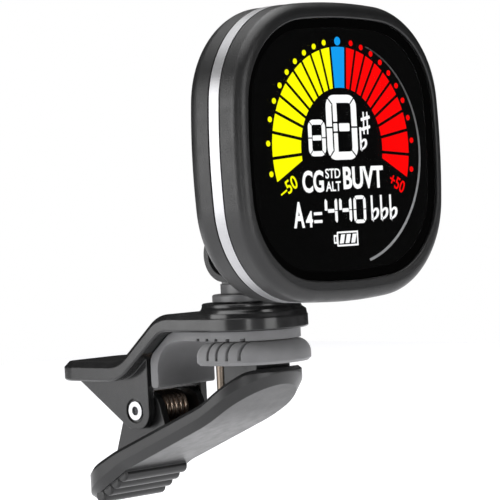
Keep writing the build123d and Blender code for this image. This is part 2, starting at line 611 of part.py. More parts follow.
def negative_contact():
    """Springy leaf between the board and the cell's cap."""
    strip = block(-2.0, 2.0, BOARD_REAR_Y, BOARD_REAR_Y + CONTACT_THICKNESS, DOOR_Z - 6, DOOR_Z + 6)
    return strip + block(-2.0, 2.0, BOARD_REAR_Y, CELL_FRONT_Y, DOOR_Z - 1.0, DOOR_Z + 1.0)


def positive_contact():
    """Bent leaf at the edge of the cell, standing on the board."""
    outer = CELL_RADIUS + CONTACT_THICKNESS
    return block(CELL_RADIUS, outer, BOARD_REAR_Y, CELL_REAR_Y - 0.5, DOOR_Z - 1, DOOR_Z + 1)


def circuit_board():
    """Printed circuit board with a hole for each case screw."""
    board = across(head_outline(WALL + SPIGOT_WALL + 0.3), BOARD_FRONT_Y, BOARD_REAR_Y)
    for x, z in screw_places():
        board -= rod_y(SCREW_RADIUS + 0.2, BOARD_FRONT_Y, BOARD_REAR_Y, x, z)
    return board


def controller_chip():
    """Packaged controller with its two rows of leads, on the rear of the board."""
    face, reach = BOARD_REAR_Y, CHIP_HALF_HEIGHT + 0.9
    chip = block(-CHIP_HALF_WIDTH, CHIP_HALF_WIDTH, face + 0.1, face + 1.2,
                 CHIP_Z - CHIP_HALF_HEIGHT, CHIP_Z + CHIP_HALF_HEIGHT)
    chip = chamfer(chip.edges().group_by(Axis.Y)[-1], 0.2)
    for step in range(CHIP_LEADS):
        x = (step - (CHIP_LEADS - 1) / 2) * CHIP_LEAD_PITCH
        chip += block(x - 0.2, x + 0.2, face, face + 0.35, CHIP_Z - reach, CHIP_Z + reach)
    return chip


def lcd_panel():
    """Glass sandwich of the display; its rear glass ledge carries the contacts."""
    middle = LCD_FRONT_Y + LCD_THICKNESS / 2
    glass = Rectangle(2 * LCD_HALF_WIDTH, 2 * LCD_HALF_HEIGHT)
    glass = chamfer(glass.vertices(), LCD_CORNER)
    front = glass - Pos(0, -LCD_HALF_HEIGHT) * Rectangle(2 * LCD_HALF_WIDTH, 2 * LCD_LEDGE)
    panel = extrude(depth_plane(middle, LCD_Z) * front, LCD_THICKNESS / 2)
    return panel + extrude(depth_plane(LCD_FRONT_Y + LCD_THICKNESS, LCD_Z) * glass, LCD_THICKNESS / 2)


def backlight_panel():
    """Moulded light guide behind the display glass."""
    front = LCD_FRONT_Y + LCD_THICKNESS + 0.1
    panel = block(-LIGHT_HALF_WIDTH, LIGHT_HALF_WIDTH, front, front + LIGHT_THICKNESS,
                  HEAD_Z - 15.5, HEAD_Z + 18.3)
    upper_corners = [e for e in panel.edges().filter_by(Axis.Y) if (e @ 0.5).Z > HEAD_Z]
    panel = chamfer(upper_corners, LIGHT_CORNER)
    return chamfer(panel.edges().group_by(Axis.Y)[-1], 0.4)


def lcd_connector():
    """Striped elastomer strip that joins the display's contact ledge to the board."""
    front = LCD_FRONT_Y + LCD_THICKNESS
    return block(-CONNECTOR_HALF_WIDTH, CONNECTOR_HALF_WIDTH, front, BOARD_FRONT_Y,
                 HEAD_Z - 18.2, HEAD_Z - 16.4)


def display_window():
    """Clear front window in the bezel's rebate."""
    window = across(window_outline(0.08), WINDOW_FRONT_Y, WINDOW_FRONT_Y + WINDOW_THICKNESS)
    front = [e for e in window.edges() if abs((e @ 0.5).Y - WINDOW_FRONT_Y) < 0.01]
    return chamfer(front, 0.15)


def piezo_disc():
    """Vibration pickup: brass plate and ceramic disc on the cover's inner wall by the lugs."""
    face = HEAD_REAR_Y - WALL
    brass = rod_y(PICKUP_RADIUS, face - PICKUP_THICKNESS, face, 0, HINGE_Z + 1.2)
    return brass + rod_y(PICKUP_RADIUS - 1.4, face - 2 * PICKUP_THICKNESS, face, 0, HINGE_Z + 1.2)


def tact_switches():
    """Three miniature switches on the board, one behind each button."""
    low, high, top = BUTTON_Z - SWITCH_HALF, BUTTON_Z + SWITCH_HALF, BOARD_REAR_Y + SWITCH_BODY
    switches = Part()
    for x in button_places():
        switches += block(x - SWITCH_HALF, x + SWITCH_HALF, BOARD_REAR_Y, top, low, high)
        switches += rod_y(1.1, top, SWITCH_TIP_Y, x, BUTTON_Z)
    return switches


def button(x):
    """Push button: domed cap, retaining flange inside the cover and a stem to its switch."""
    inner = HEAD_REAR_Y - WALL - 0.1
    cap = rod_y(BUTTON_RADIUS, inner - 0.6, HEAD_REAR_Y + BUTTON_PROUD, x, BUTTON_Z)
    cap = fillet([e for e in cap.edges() if (e @ 0.5).Y > HEAD_REAR_Y], 0.5)
    flange = rod_y(BUTTON_RADIUS + BUTTON_FLANGE, inner - BUTTON_FLANGE, inner, x, BUTTON_Z)
    return cap + flange + rod_y(1.0, SWITCH_TIP_Y + BUTTON_STROKE + 0.1, inner, x, BUTTON_Z)


def case_screws():
    """Four countersunk screws that draw the rear cover onto the bezel."""
    screws = Part()
    for x, z in screw_places():
        seat, face = HEAD_REAR_Y - SCREW_HEAD_DEPTH, HEAD_REAR_Y - 0.4
        screw = rod_y(SCREW_HEAD_RADIUS, seat, face, x, z)
        screw += rod_y(SCREW_RADIUS, BOARD_FRONT_Y - 1.5, seat, x, z)
        for angle in (0, 90):
            screw -= Pos(x, face, z) * Rotation(0, angle, 0) * Box(2.0, 1.0, 0.4)
        screws += screw
    return screws


NODES = {
    "upper_arm": upper_arm, "upper_pad": upper_pad, "pivot_pin": pivot_pin,
    "torsion_spring": torsion_spring, "lower_arm": lower_arm, "lower_pad": lower_pad,
    "pad_posts": pad_posts, "swivel_neck": swivel_neck, "swivel_washer": swivel_washer,
    "swivel_screw": swivel_screw, "hinge_pin": hinge_pin, "hinge_nut": hinge_nut,
    "hinge_washers": hinge_washers, "front_bezel": front_bezel, "trim_band": trim_band,
    "rear_cover": rear_cover, "battery_door": battery_door, "coin_cell": coin_cell,
    "negative_contact": negative_contact, "positive_contact": positive_contact,
    "circuit_board": circuit_board, "controller_chip": controller_chip, "lcd_panel": lcd_panel,
    "backlight_panel": backlight_panel, "lcd_connector": lcd_connector,
    "display_window": display_window, "piezo_disc": piezo_disc, "tact_switches": tact_switches,
    "case_screws": case_screws,
}
BUTTONS = dict(zip(("power_button", "mode_button", "pitch_button"), button_places()))


def main():
    os.makedirs("parts", exist_ok=True)
    for name, build in NODES.items():
        export_step(build(), f"parts/{name}.step")
    for name, x in BUTTONS.items():
        export_step(button(x), f"parts/{name}.step")


main()
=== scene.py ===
"""Clip-on tuner, dressed for show around its CAD frame.

Metres. X is the width, -Y is the front of the display and +Z is up. Sizes in the classes are millimetres.
"""
import json
import logging
import math
from collections.abc import Callable, Iterable
from dataclasses import dataclass
from enum import Enum

import bmesh
import bpy
from mathutils import Matrix, Vector

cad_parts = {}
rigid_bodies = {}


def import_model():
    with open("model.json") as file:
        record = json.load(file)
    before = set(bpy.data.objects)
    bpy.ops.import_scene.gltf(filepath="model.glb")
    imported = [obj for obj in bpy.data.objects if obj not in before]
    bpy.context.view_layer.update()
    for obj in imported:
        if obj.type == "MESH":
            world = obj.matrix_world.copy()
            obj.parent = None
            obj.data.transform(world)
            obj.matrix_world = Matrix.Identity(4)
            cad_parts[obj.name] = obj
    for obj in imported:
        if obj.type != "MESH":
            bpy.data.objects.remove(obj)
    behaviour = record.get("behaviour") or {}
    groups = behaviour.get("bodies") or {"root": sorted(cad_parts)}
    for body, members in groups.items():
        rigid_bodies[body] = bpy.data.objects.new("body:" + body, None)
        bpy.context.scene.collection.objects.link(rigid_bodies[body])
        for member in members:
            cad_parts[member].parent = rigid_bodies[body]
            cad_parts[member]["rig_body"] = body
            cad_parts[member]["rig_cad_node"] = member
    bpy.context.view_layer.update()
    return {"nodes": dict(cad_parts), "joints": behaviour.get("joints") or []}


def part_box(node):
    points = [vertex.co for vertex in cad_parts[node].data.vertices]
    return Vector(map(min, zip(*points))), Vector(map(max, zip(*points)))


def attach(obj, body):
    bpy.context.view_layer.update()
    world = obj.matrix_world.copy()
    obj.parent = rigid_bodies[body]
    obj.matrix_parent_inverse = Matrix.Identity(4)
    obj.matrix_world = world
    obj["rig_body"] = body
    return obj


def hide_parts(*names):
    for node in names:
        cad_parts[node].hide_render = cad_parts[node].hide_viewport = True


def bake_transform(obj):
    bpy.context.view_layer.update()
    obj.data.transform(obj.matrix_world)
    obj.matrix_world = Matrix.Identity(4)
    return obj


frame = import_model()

LOG = logging.getLogger("tuner")
MM = 0.001

# Colour sockets of a Mix node, and the spacing of nodes in the editor.
MIX_A = 6
MIX_B = 7
MIX_OUT = 2
COLUMN = 240
ROW = -220

Colour = tuple[float, float, float, float]
Place = tuple[float, float, float]
Point = tuple[float, float]
Dressed = tuple[bpy.types.Object, bpy.types.Material]

# Places read from the frame, in millimetres.
DISPLAY_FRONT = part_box("lcd_panel")[0].y / MM
DISPLAY_MIDDLE = sum(corner.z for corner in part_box("lcd_panel")) / 2 / MM
WINDOW_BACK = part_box("display_window")[1].y / MM

# Millimetres that the black field and the lit shapes stand in front of the display, that the field's
# middle is below the display's, and that the printed arc is behind the window.
FIELD_LIFT = 0.05
LIT_LIFT = 0.11
FIELD_DROP = 0.15
ARC_GAP = 0.015


def joint_place(name: str) -> Place:
    """Place of one of the frame's joints, in metres."""
    return tuple(next(joint["pos_m"] for joint in frame["joints"] if joint["name"] == name))


class Facing(Enum):
    """Which way a printed or lit shape faces."""

    FRONT = 0.0
    REAR = math.pi


# ---- finishes -----------------------------------------------------------------------------
@dataclass(frozen=True)
class MouldedPlastic:
    """Injection-moulded plastic with an eroded grain and edges polished by handling.

    Grain, relief and edge sizes are in millimetres.
    """

    name: str
    colour: Colour
    flow_colour: Colour
    worn_colour: Colour
    roughness: tuple[float, float] = (0.42, 0.55)
    grain: float = 0.16
    relief: float = 0.008
    edge: float = 0.22
    ior: float = 1.5

    def material(self) -> bpy.types.Material:
        """Write the plastic's node tree.

        Returns:
            The new material.
        """
        made = bpy.data.materials.new(self.name)
        made.use_nodes = True
        nodes, links = made.node_tree.nodes, made.node_tree.links
        nodes.clear()

        place = nodes.new("ShaderNodeTexCoord")
        place.label = "Place on the moulding"
        grain = nodes.new("ShaderNodeTexNoise")
        grain.label = "Eroded mould grain"
        flow = nodes.new("ShaderNodeTexNoise")
        flow.label = "Slow flow of the melt"
        scuffs = nodes.new("ShaderNodeTexNoise")
        scuffs.label = "Handling scuffs"
        surface = nodes.new("ShaderNodeNewGeometry")
        surface.label = "True surface"
        edge = nodes.new("ShaderNodeBevel")
        edge.label = "Softened mould edges"
        sharpness = nodes.new("ShaderNodeVectorMath")
        sharpness.label = "How far the edge turns"
        edge_mask = nodes.new("ShaderNodeMapRange")
        edge_mask.label = "Edges only"
        worn = nodes.new("ShaderNodeMath")
        worn.label = "Edges broken up by scuffs"
        tint = nodes.new("ShaderNodeMix")
        tint.label = "Melt tint"
        polish = nodes.new("ShaderNodeMix")
        polish.label = "Paler worn edges"
        gloss = nodes.new("ShaderNodeMapRange")
        gloss.label = "Uneven gloss"
        relief = nodes.new("ShaderNodeBump")
        relief.label = "Grain relief"
        skin = nodes.new("ShaderNodeBsdfPrincipled")
        skin.label = "Plastic skin"
        output = nodes.new("ShaderNodeOutputMaterial")
        output.label = "Surface"

        groups = {
            "Moulded texture": (place, grain, flow, scuffs),
            "Worn edges": (surface, edge, sharpness, edge_mask, worn),
            "Colour": (tint, polish),
            "Gloss and relief": (gloss, relief),
            "Result": (skin, output),
        }
        for column, (title, members) in enumerate(groups.items()):
            group = nodes.new("NodeFrame")
            group.label = title
            for row, node in enumerate(members):
                node.parent = group
                node.location = (column * COLUMN, row * ROW)

        grain.inputs["Scale"].default_value = 1.0 / (self.grain * MM)
        grain.inputs["Detail"].default_value = 2.0
        flow.inputs["Scale"].default_value = 70.0
        scuffs.inputs["Scale"].default_value = 420.0
        scuffs.inputs["Detail"].default_value = 6.0
        scuffs.inputs["Roughness"].default_value = 0.68
        edge.samples = 6
        edge.inputs["Radius"].default_value = self.edge * MM
        sharpness.operation = "DOT_PRODUCT"
        edge_mask.inputs["From Min"].default_value = 0.80
        edge_mask.inputs["From Max"].default_value = 0.985
        edge_mask.inputs["To Min"].default_value = 1.0
        edge_mask.inputs["To Max"].default_value = 0.0
        worn.operation = "MULTIPLY"
        tint.data_type = "RGBA"
        tint.inputs[MIX_A].default_value = self.colour
        tint.inputs[MIX_B].default_value = self.flow_colour
        polish.data_type = "RGBA"
        polish.inputs[MIX_B].default_value = self.worn_colour
        gloss.inputs["From Min"].default_value = 0.3
        gloss.inputs["From Max"].default_value = 0.7
        gloss.inputs["To Min"].default_value = self.roughness[0]
        gloss.inputs["To Max"].default_value = self.roughness[1]
        relief.inputs["Strength"].default_value = 1.0
        relief.inputs["Distance"].default_value = self.relief * MM
        skin.inputs["IOR"].default_value = self.ior

        for pattern in (grain, flow, scuffs):
            links.new(place.outputs["Object"], pattern.inputs["Vector"])
        links.new(surface.outputs["Normal"], sharpness.inputs[0])
        links.new(edge.outputs["Normal"], sharpness.inputs[1])
        links.new(sharpness.outputs["Value"], edge_mask.inputs["Value"])
        links.new(edge_mask.outputs["Result"], worn.inputs[0])
        links.new(scuffs.outputs["Fac"], worn.inputs[1])
        links.new(flow.outputs["Fac"], tint.inputs["Factor"])
        links.new(tint.outputs[MIX_OUT], polish.inputs[MIX_A])
        links.new(worn.outputs["Value"], polish.inputs["Factor"])
        links.new(scuffs.outputs["Fac"], gloss.inputs["Value"])
        links.new(grain.outputs["Fac"], relief.inputs["Height"])
        links.new(edge.outputs["Normal"], relief.inputs["Normal"])
        links.new(polish.outputs[MIX_OUT], skin.inputs["Base Color"])
        links.new(gloss.outputs["Result"], skin.inputs["Roughness"])
        links.new(relief.outputs["Normal"], skin.inputs["Normal"])
        links.new(skin.outputs["BSDF"], output.inputs["Surface"])
        return made


@dataclass(frozen=True)
class WorkedMetal:
    """Metal with tool or brush lines and a faint tarnish.

    The lines run along the axis whose pitch is largest. Pitches and relief are in millimetres.
    """

    name: str
    colour: Colour
    tarnish: Colour
    roughness: tuple[float, float] = (0.22, 0.36)
    line_pitch: tuple[float, float, float] = (0.08, 0.08, 0.08)
    relief: float = 0.002
    edge: float = 0.08

    def material(self) -> bpy.types.Material:
        """Write the metal's node tree.

        Returns:
            The new material.
        """
        made = bpy.data.materials.new(self.name)
        made.use_nodes = True
        nodes, links = made.node_tree.nodes, made.node_tree.links
        nodes.clear()

        place = nodes.new("ShaderNodeTexCoord")
        place.label = "Place on the metal"
        stretch = nodes.new("ShaderNodeMapping")
        stretch.label = "Stretched along the tool lines"
        lines = nodes.new("ShaderNodeTexNoise")
        lines.label = "Tool lines"
        film = nodes.new("ShaderNodeTexNoise")
        film.label = "Thin tarnish film"
        tint = nodes.new("ShaderNodeMix")
        tint.label = "Tarnish tint"
        shade = nodes.new("ShaderNodeMix")
        shade.label = "Darker in the tool lines"
        gloss = nodes.new("ShaderNodeMapRange")
        gloss.label = "Duller in the tool lines"
        edge = nodes.new("ShaderNodeBevel")
        edge.label = "Broken edges"
        relief = nodes.new("ShaderNodeBump")
        relief.label = "Line relief"
        metal = nodes.new("ShaderNodeBsdfPrincipled")
        metal.label = "Bare metal"
        output = nodes.new("ShaderNodeOutputMaterial")
        output.label = "Surface"

        groups = {
            "Line texture": (place, stretch, lines, film),
            "Colour": (tint, shade),
            "Gloss and relief": (gloss, edge, relief),
            "Result": (metal, output),
        }
        for column, (title, members) in enumerate(groups.items()):
            group = nodes.new("NodeFrame")
            group.label = title
            for row, node in enumerate(members):
                node.parent = group
                node.location = (column * COLUMN, row * ROW)

        stretch.inputs["Scale"].default_value = [1.0 / (pitch * MM) for pitch in self.line_pitch]
        lines.inputs["Scale"].default_value = 1.0
        lines.inputs["Detail"].default_value = 3.0
        film.inputs["Scale"].default_value = 240.0
        film.inputs["Detail"].default_value = 4.0
        tint.data_type = "RGBA"
        tint.inputs[MIX_A].default_value = self.colour
        tint.inputs[MIX_B].default_value = self.tarnish
        shade.data_type = "RGBA"
        shade.blend_type = "MULTIPLY"
        shade.inputs["Factor"].default_value = 0.22
        gloss.inputs["From Min"].default_value = 0.3
        gloss.inputs["From Max"].default_value = 0.7
        gloss.inputs["To Min"].default_value = self.roughness[0]
        gloss.inputs["To Max"].default_value = self.roughness[1]
        edge.samples = 4
        edge.inputs["Radius"].default_value = self.edge * MM
        relief.inputs["Distance"].default_value = self.relief * MM
        metal.inputs["Metallic"].default_value = 1.0

        links.new(place.outputs["Object"], stretch.inputs["Vector"])
        links.new(stretch.outputs["Vector"], lines.inputs["Vector"])
        links.new(place.outputs["Object"], film.inputs["Vector"])
        links.new(film.outputs["Fac"], tint.inputs["Factor"])
        links.new(tint.outputs[MIX_OUT], shade.inputs[MIX_A])
        links.new(lines.outputs["Fac"], shade.inputs[MIX_B])
        links.new(lines.outputs["Fac"], gloss.inputs["Value"])
        links.new(lines.outputs["Fac"], relief.inputs["Height"])
        links.new(edge.outputs["Normal"], relief.inputs["Normal"])
        links.new(shade.outputs[MIX_OUT], metal.inputs["Base Color"])
        links.new(gloss.outputs["Result"], metal.inputs["Roughness"])
        links.new(relief.outputs["Normal"], metal.inputs["Normal"])
        links.new(metal.outputs["BSDF"], output.inputs["Surface"])
        return made


@dataclass(frozen=True)
class GripRubber:
    """Moulded grip rubber: dry, pebbled and dusted pale on its edges. Sizes are millimetres."""

    name: str
    colour: Colour
    bloom: Colour
    roughness: tuple[float, float] = (0.55, 0.75)
    pebble: float = 0.22
    relief: float = 0.012
    edge: float = 0.3
    sheen: float = 0.25

    def material(self) -> bpy.types.Material:
        """Write the rubber's node tree.

        Returns:
            The new material.
        """
        made = bpy.data.materials.new(self.name)
        made.use_nodes = True
        nodes, links = made.node_tree.nodes, made.node_tree.links
        nodes.clear()

        place = nodes.new("ShaderNodeTexCoord")
        place.label = "Place on the rubber"
        pebble = nodes.new("ShaderNodeTexVoronoi")
        pebble.label = "Pebbled skin"
        dust = nodes.new("ShaderNodeTexNoise")
        dust.label = "Dusty bloom"
        surface = nodes.new("ShaderNodeNewGeometry")
        surface.label = "True surface"
        edge = nodes.new("ShaderNodeBevel")
        edge.label = "Soft rubber edges"
        sharpness = nodes.new("ShaderNodeVectorMath")
        sharpness.label = "How far the edge turns"
        edge_mask = nodes.new("ShaderNodeMapRange")
        edge_mask.label = "Edges only"
        tint = nodes.new("ShaderNodeMix")
        tint.label = "Patchy bloom"
        rubbed = nodes.new("ShaderNodeMix")
        rubbed.label = "Paler rubbed edges"
        gloss = nodes.new("ShaderNodeMapRange")
        gloss.label = "Uneven sheen"
        relief = nodes.new("ShaderNodeBump")
        relief.label = "Pebble relief"
        skin = nodes.new("ShaderNodeBsdfPrincipled")
        skin.label = "Rubber skin"
        output = nodes.new("ShaderNodeOutputMaterial")
        output.label = "Surface"

        groups = {
            "Skin texture": (place, pebble, dust),
            "Rubbed edges": (surface, edge, sharpness, edge_mask),
            "Colour": (tint, rubbed),
            "Gloss and relief": (gloss, relief),
            "Result": (skin, output),
        }
        for column, (title, members) in enumerate(groups.items()):
            group = nodes.new("NodeFrame")
            group.label = title
            for row, node in enumerate(members):
                node.parent = group
                node.location = (column * COLUMN, row * ROW)

        pebble.inputs["Scale"].default_value = 1.0 / (self.pebble * MM)
        dust.inputs["Scale"].default_value = 330.0
        dust.inputs["Detail"].default_value = 5.0
        edge.samples = 6
        edge.inputs["Radius"].default_value = self.edge * MM
        sharpness.operation = "DOT_PRODUCT"
        edge_mask.inputs["From Min"].default_value = 0.75
        edge_mask.inputs["From Max"].default_value = 0.99
        edge_mask.inputs["To Min"].default_value = 0.7
        edge_mask.inputs["To Max"].default_value = 0.0
        tint.data_type = "RGBA"
        tint.inputs[MIX_A].default_value = self.colour
        tint.inputs[MIX_B].default_value = self.bloom
        rubbed.data_type = "RGBA"
        rubbed.inputs[MIX_B].default_value = self.bloom
        gloss.inputs["From Min"].default_value = 0.3
        gloss.inputs["From Max"].default_value = 0.7
        gloss.inputs["To Min"].default_value = self.roughness[0]
        gloss.inputs["To Max"].default_value = self.roughness[1]
        relief.inputs["Distance"].default_value = self.relief * MM
        skin.inputs["IOR"].default_value = 1.48
        skin.inputs["Sheen Weight"].default_value = self.sheen
        skin.inputs["Sheen Roughness"].default_value = 0.5

        links.new(place.outputs["Object"], pebble.inputs["Vector"])
        links.new(place.outputs["Object"], dust.inputs["Vector"])
        links.new(surface.outputs["Normal"], sharpness.inputs[0])
        links.new(edge.outputs["Normal"], sharpness.inputs[1])
        links.new(sharpness.outputs["Value"], edge_mask.inputs["Value"])
        links.new(dust.outputs["Fac"], tint.inputs["Factor"])
        links.new(tint.outputs[MIX_OUT], rubbed.inputs[MIX_A])
        links.new(edge_mask.outputs["Result"], rubbed.inputs["Factor"])
        links.new(dust.outputs["Fac"], gloss.inputs["Value"])
        links.new(pebble.outputs["Distance"], relief.inputs["Height"])
        links.new(edge.outputs["Normal"], relief.inputs["Normal"])
        links.new(rubbed.outputs[MIX_OUT], skin.inputs["Base Color"])
        links.new(gloss.outputs["Result"], skin.inputs["Roughness"])
        links.new(relief.outputs["Normal"], skin.inputs["Normal"])
        links.new(skin.outputs["BSDF"], output.inputs["Surface"])
        return made


@dataclass(frozen=True)
class ClearWindow:
    """Clear hard-coated window with faint finger smears."""

    name: str
    tint: Colour = (0.97, 0.98, 0.98, 1.0)
    roughness: tuple[float, float] = (0.0, 0.05)
    waviness: float = 0.0004

    def material(self) -> bpy.types.Material:
        """Write the window's node tree.

        Returns:
            The new material.
        """
        made = bpy.data.materials.new(self.name)
        made.use_nodes = True
        nodes, links = made.node_tree.nodes, made.node_tree.links
        nodes.clear()

        place = nodes.new("ShaderNodeTexCoord")
        place.label = "Place on the window"
        smears = nodes.new("ShaderNodeTexNoise")
        smears.label = "Finger smears"
        waves = nodes.new("ShaderNodeTexNoise")
        waves.label = "Moulding waves"
        gloss = nodes.new("ShaderNodeMapRange")
        gloss.label = "Duller where smeared"
        relief = nodes.new("ShaderNodeBump")
        relief.label = "Very slight waviness"
        clear = nodes.new("ShaderNodeBsdfPrincipled")
        clear.label = "Clear plastic"
        output = nodes.new("ShaderNodeOutputMaterial")
        output.label = "Surface"

        groups = {
            "Smears and waves": (place, smears, waves),
            "Gloss and relief": (gloss, relief),
            "Result": (clear, output),
        }
        for column, (title, members) in enumerate(groups.items()):
            group = nodes.new("NodeFrame")
            group.label = title
            for row, node in enumerate(members):
                node.parent = group
                node.location = (column * COLUMN, row * ROW)

        smears.inputs["Scale"].default_value = 110.0
        smears.inputs["Detail"].default_value = 5.0
        waves.inputs["Scale"].default_value = 45.0
        gloss.inputs["From Min"].default_value = 0.5
        gloss.inputs["From Max"].default_value = 0.8
        gloss.inputs["To Min"].default_value = self.roughness[0]
        gloss.inputs["To Max"].default_value = self.roughness[1]
        relief.inputs["Distance"].default_value = self.waviness * MM
        clear.inputs["Base Color"].default_value = self.tint
        clear.inputs["IOR"].default_value = 1.45
        clear.inputs["Transmission Weight"].default_value = 1.0

        links.new(place.outputs["Object"], smears.inputs["Vector"])
        links.new(place.outputs["Object"], waves.inputs["Vector"])
        links.new(smears.outputs["Fac"], gloss.inputs["Value"])
        links.new(waves.outputs["Fac"], relief.inputs["Height"])
        links.new(gloss.outputs["Result"], clear.inputs["Roughness"])
        links.new(relief.outputs["Normal"], clear.inputs["Normal"])
        links.new(clear.outputs["BSDF"], output.inputs["Surface"])
        return made


@dataclass(frozen=True)
class StripedSheet:
    """Sheet or strip with fine regular lines, such as board tracks or a striped connector."""

    name: str
    ground: Colour
    line: Colour
    pitch: float = 1.2
    line_share: float = 0.35
    wander: float = 1.5
    roughness: float = 0.35

    def material(self) -> bpy.types.Material:
        """Write the sheet's node tree.

        Returns:
            The new material.
        """
        made = bpy.data.materials.new(self.name)
        made.use_nodes = True
        nodes, links = made.node_tree.nodes, made.node_tree.links
        nodes.clear()

        place = nodes.new("ShaderNodeTexCoord")
        place.label = "Place on the sheet"
        lines = nodes.new("ShaderNodeTexWave")
        lines.label = "Fine lines"
        clipped = nodes.new("ShaderNodeMapRange")
        clipped.label = "Crisp line edges"
        speckle = nodes.new("ShaderNodeTexNoise")
        speckle.label = "Resin speckle"
        mixed = nodes.new("ShaderNodeMix")
        mixed.label = "Lines on the ground"
        gloss = nodes.new("ShaderNodeMapRange")
        gloss.label = "Uneven lacquer"
        relief = nodes.new("ShaderNodeBump")
        relief.label = "Raised lines"
        sheet = nodes.new("ShaderNodeBsdfPrincipled")
        sheet.label = "Lacquered sheet"
        output = nodes.new("ShaderNodeOutputMaterial")
        output.label = "Surface"

        groups = {
            "Line pattern": (place, lines, clipped, speckle),
            "Colour": (mixed,),
            "Gloss and relief": (gloss, relief),
            "Result": (sheet, output),
        }
        for column, (title, members) in enumerate(groups.items()):
            group = nodes.new("NodeFrame")
            group.label = title
            for row, node in enumerate(members):
                node.parent = group
                node.location = (column * COLUMN, row * ROW)

        lines.inputs["Scale"].default_value = 1.0 / (self.pitch * MM) / math.tau
        lines.inputs["Distortion"].default_value = self.wander
        lines.inputs["Detail"].default_value = 0.0
        clipped.inputs["From Min"].default_value = 1.0 - self.line_share
        clipped.inputs["From Max"].default_value = 1.06 - self.line_share
        speckle.inputs["Scale"].default_value = 2600.0
        mixed.data_type = "RGBA"
        mixed.inputs[MIX_A].default_value = self.ground
        mixed.inputs[MIX_B].default_value = self.line
        gloss.inputs["To Min"].default_value = self.roughness
        gloss.inputs["To Max"].default_value = self.roughness + 0.2
        relief.inputs["Distance"].default_value = 0.02 * MM

        links.new(place.outputs["Object"], lines.inputs["Vector"])
        links.new(lines.outputs["Fac"], clipped.inputs["Value"])
        links.new(place.outputs["Object"], speckle.inputs["Vector"])
        links.new(clipped.outputs["Result"], mixed.inputs["Factor"])
        links.new(speckle.outputs["Fac"], gloss.inputs["Value"])
        links.new(clipped.outputs["Result"], relief.inputs["Height"])
        links.new(mixed.outputs[MIX_OUT], sheet.inputs["Base Color"])
        links.new(gloss.outputs["Result"], sheet.inputs["Roughness"])
        links.new(relief.outputs["Normal"], sheet.inputs["Normal"])
        links.new(sheet.outputs["BSDF"], output.inputs["Surface"])
        return made


@dataclass(frozen=True)
class LitSegment:
    """Display segment lit from behind through its diffuser."""

    name: str
    colour: Colour
    shaded: Colour
    strength: float = 1.15

    def material(self) -> bpy.types.Material:
        """Write the lit segment's node tree.

        Returns:
            The new material.
        """
        made = bpy.data.materials.new(self.name)
        made.use_nodes = True
        nodes, links = made.node_tree.nodes, made.node_tree.links
        nodes.clear()

        place = nodes.new("ShaderNodeTexCoord")
        place.label = "Place on the display"
        cells = nodes.new("ShaderNodeTexVoronoi")
        cells.label = "Diffuser cells"
        faint = nodes.new("ShaderNodeMapRange")
        faint.label = "Faint unevenness"
        glow = nodes.new("ShaderNodeMix")
        glow.label = "Segment glow"
        segment = nodes.new("ShaderNodeBsdfPrincipled")
        segment.label = "Lit segment"
        output = nodes.new("ShaderNodeOutputMaterial")
        output.label = "Surface"

        groups = {
            "Backlight pattern": (place, cells, faint),
            "Glow": (glow,),
            "Result": (segment, output),
        }
        for column, (title, members) in enumerate(groups.items()):
            group = nodes.new("NodeFrame")
            group.label = title
            for row, node in enumerate(members):
                node.parent = group
                node.location = (column * COLUMN, row * ROW)

        cells.inputs["Scale"].default_value = 2200.0
        faint.inputs["To Min"].default_value = 0.0
        faint.inputs["To Max"].default_value = 0.25
        glow.data_type = "RGBA"
        glow.inputs[MIX_A].default_value = self.colour
        glow.inputs[MIX_B].default_value = self.shaded
        segment.inputs["Roughness"].default_value = 0.6
        segment.inputs["Specular IOR Level"].default_value = 0.0
        segment.inputs["Base Color"].default_value = (0.0, 0.0, 0.0, 1.0)
        segment.inputs["Emission Strength"].default_value = self.strength

        links.new(place.outputs["Object"], cells.inputs["Vector"])
        links.new(cells.outputs["Distance"], faint.inputs["Value"])
        links.new(faint.outputs["Result"], glow.inputs["Factor"])
        links.new(glow.outputs[MIX_OUT], segment.inputs["Emission Color"])
        links.new(segment.outputs["BSDF"], output.inputs["Surface"])
        return made


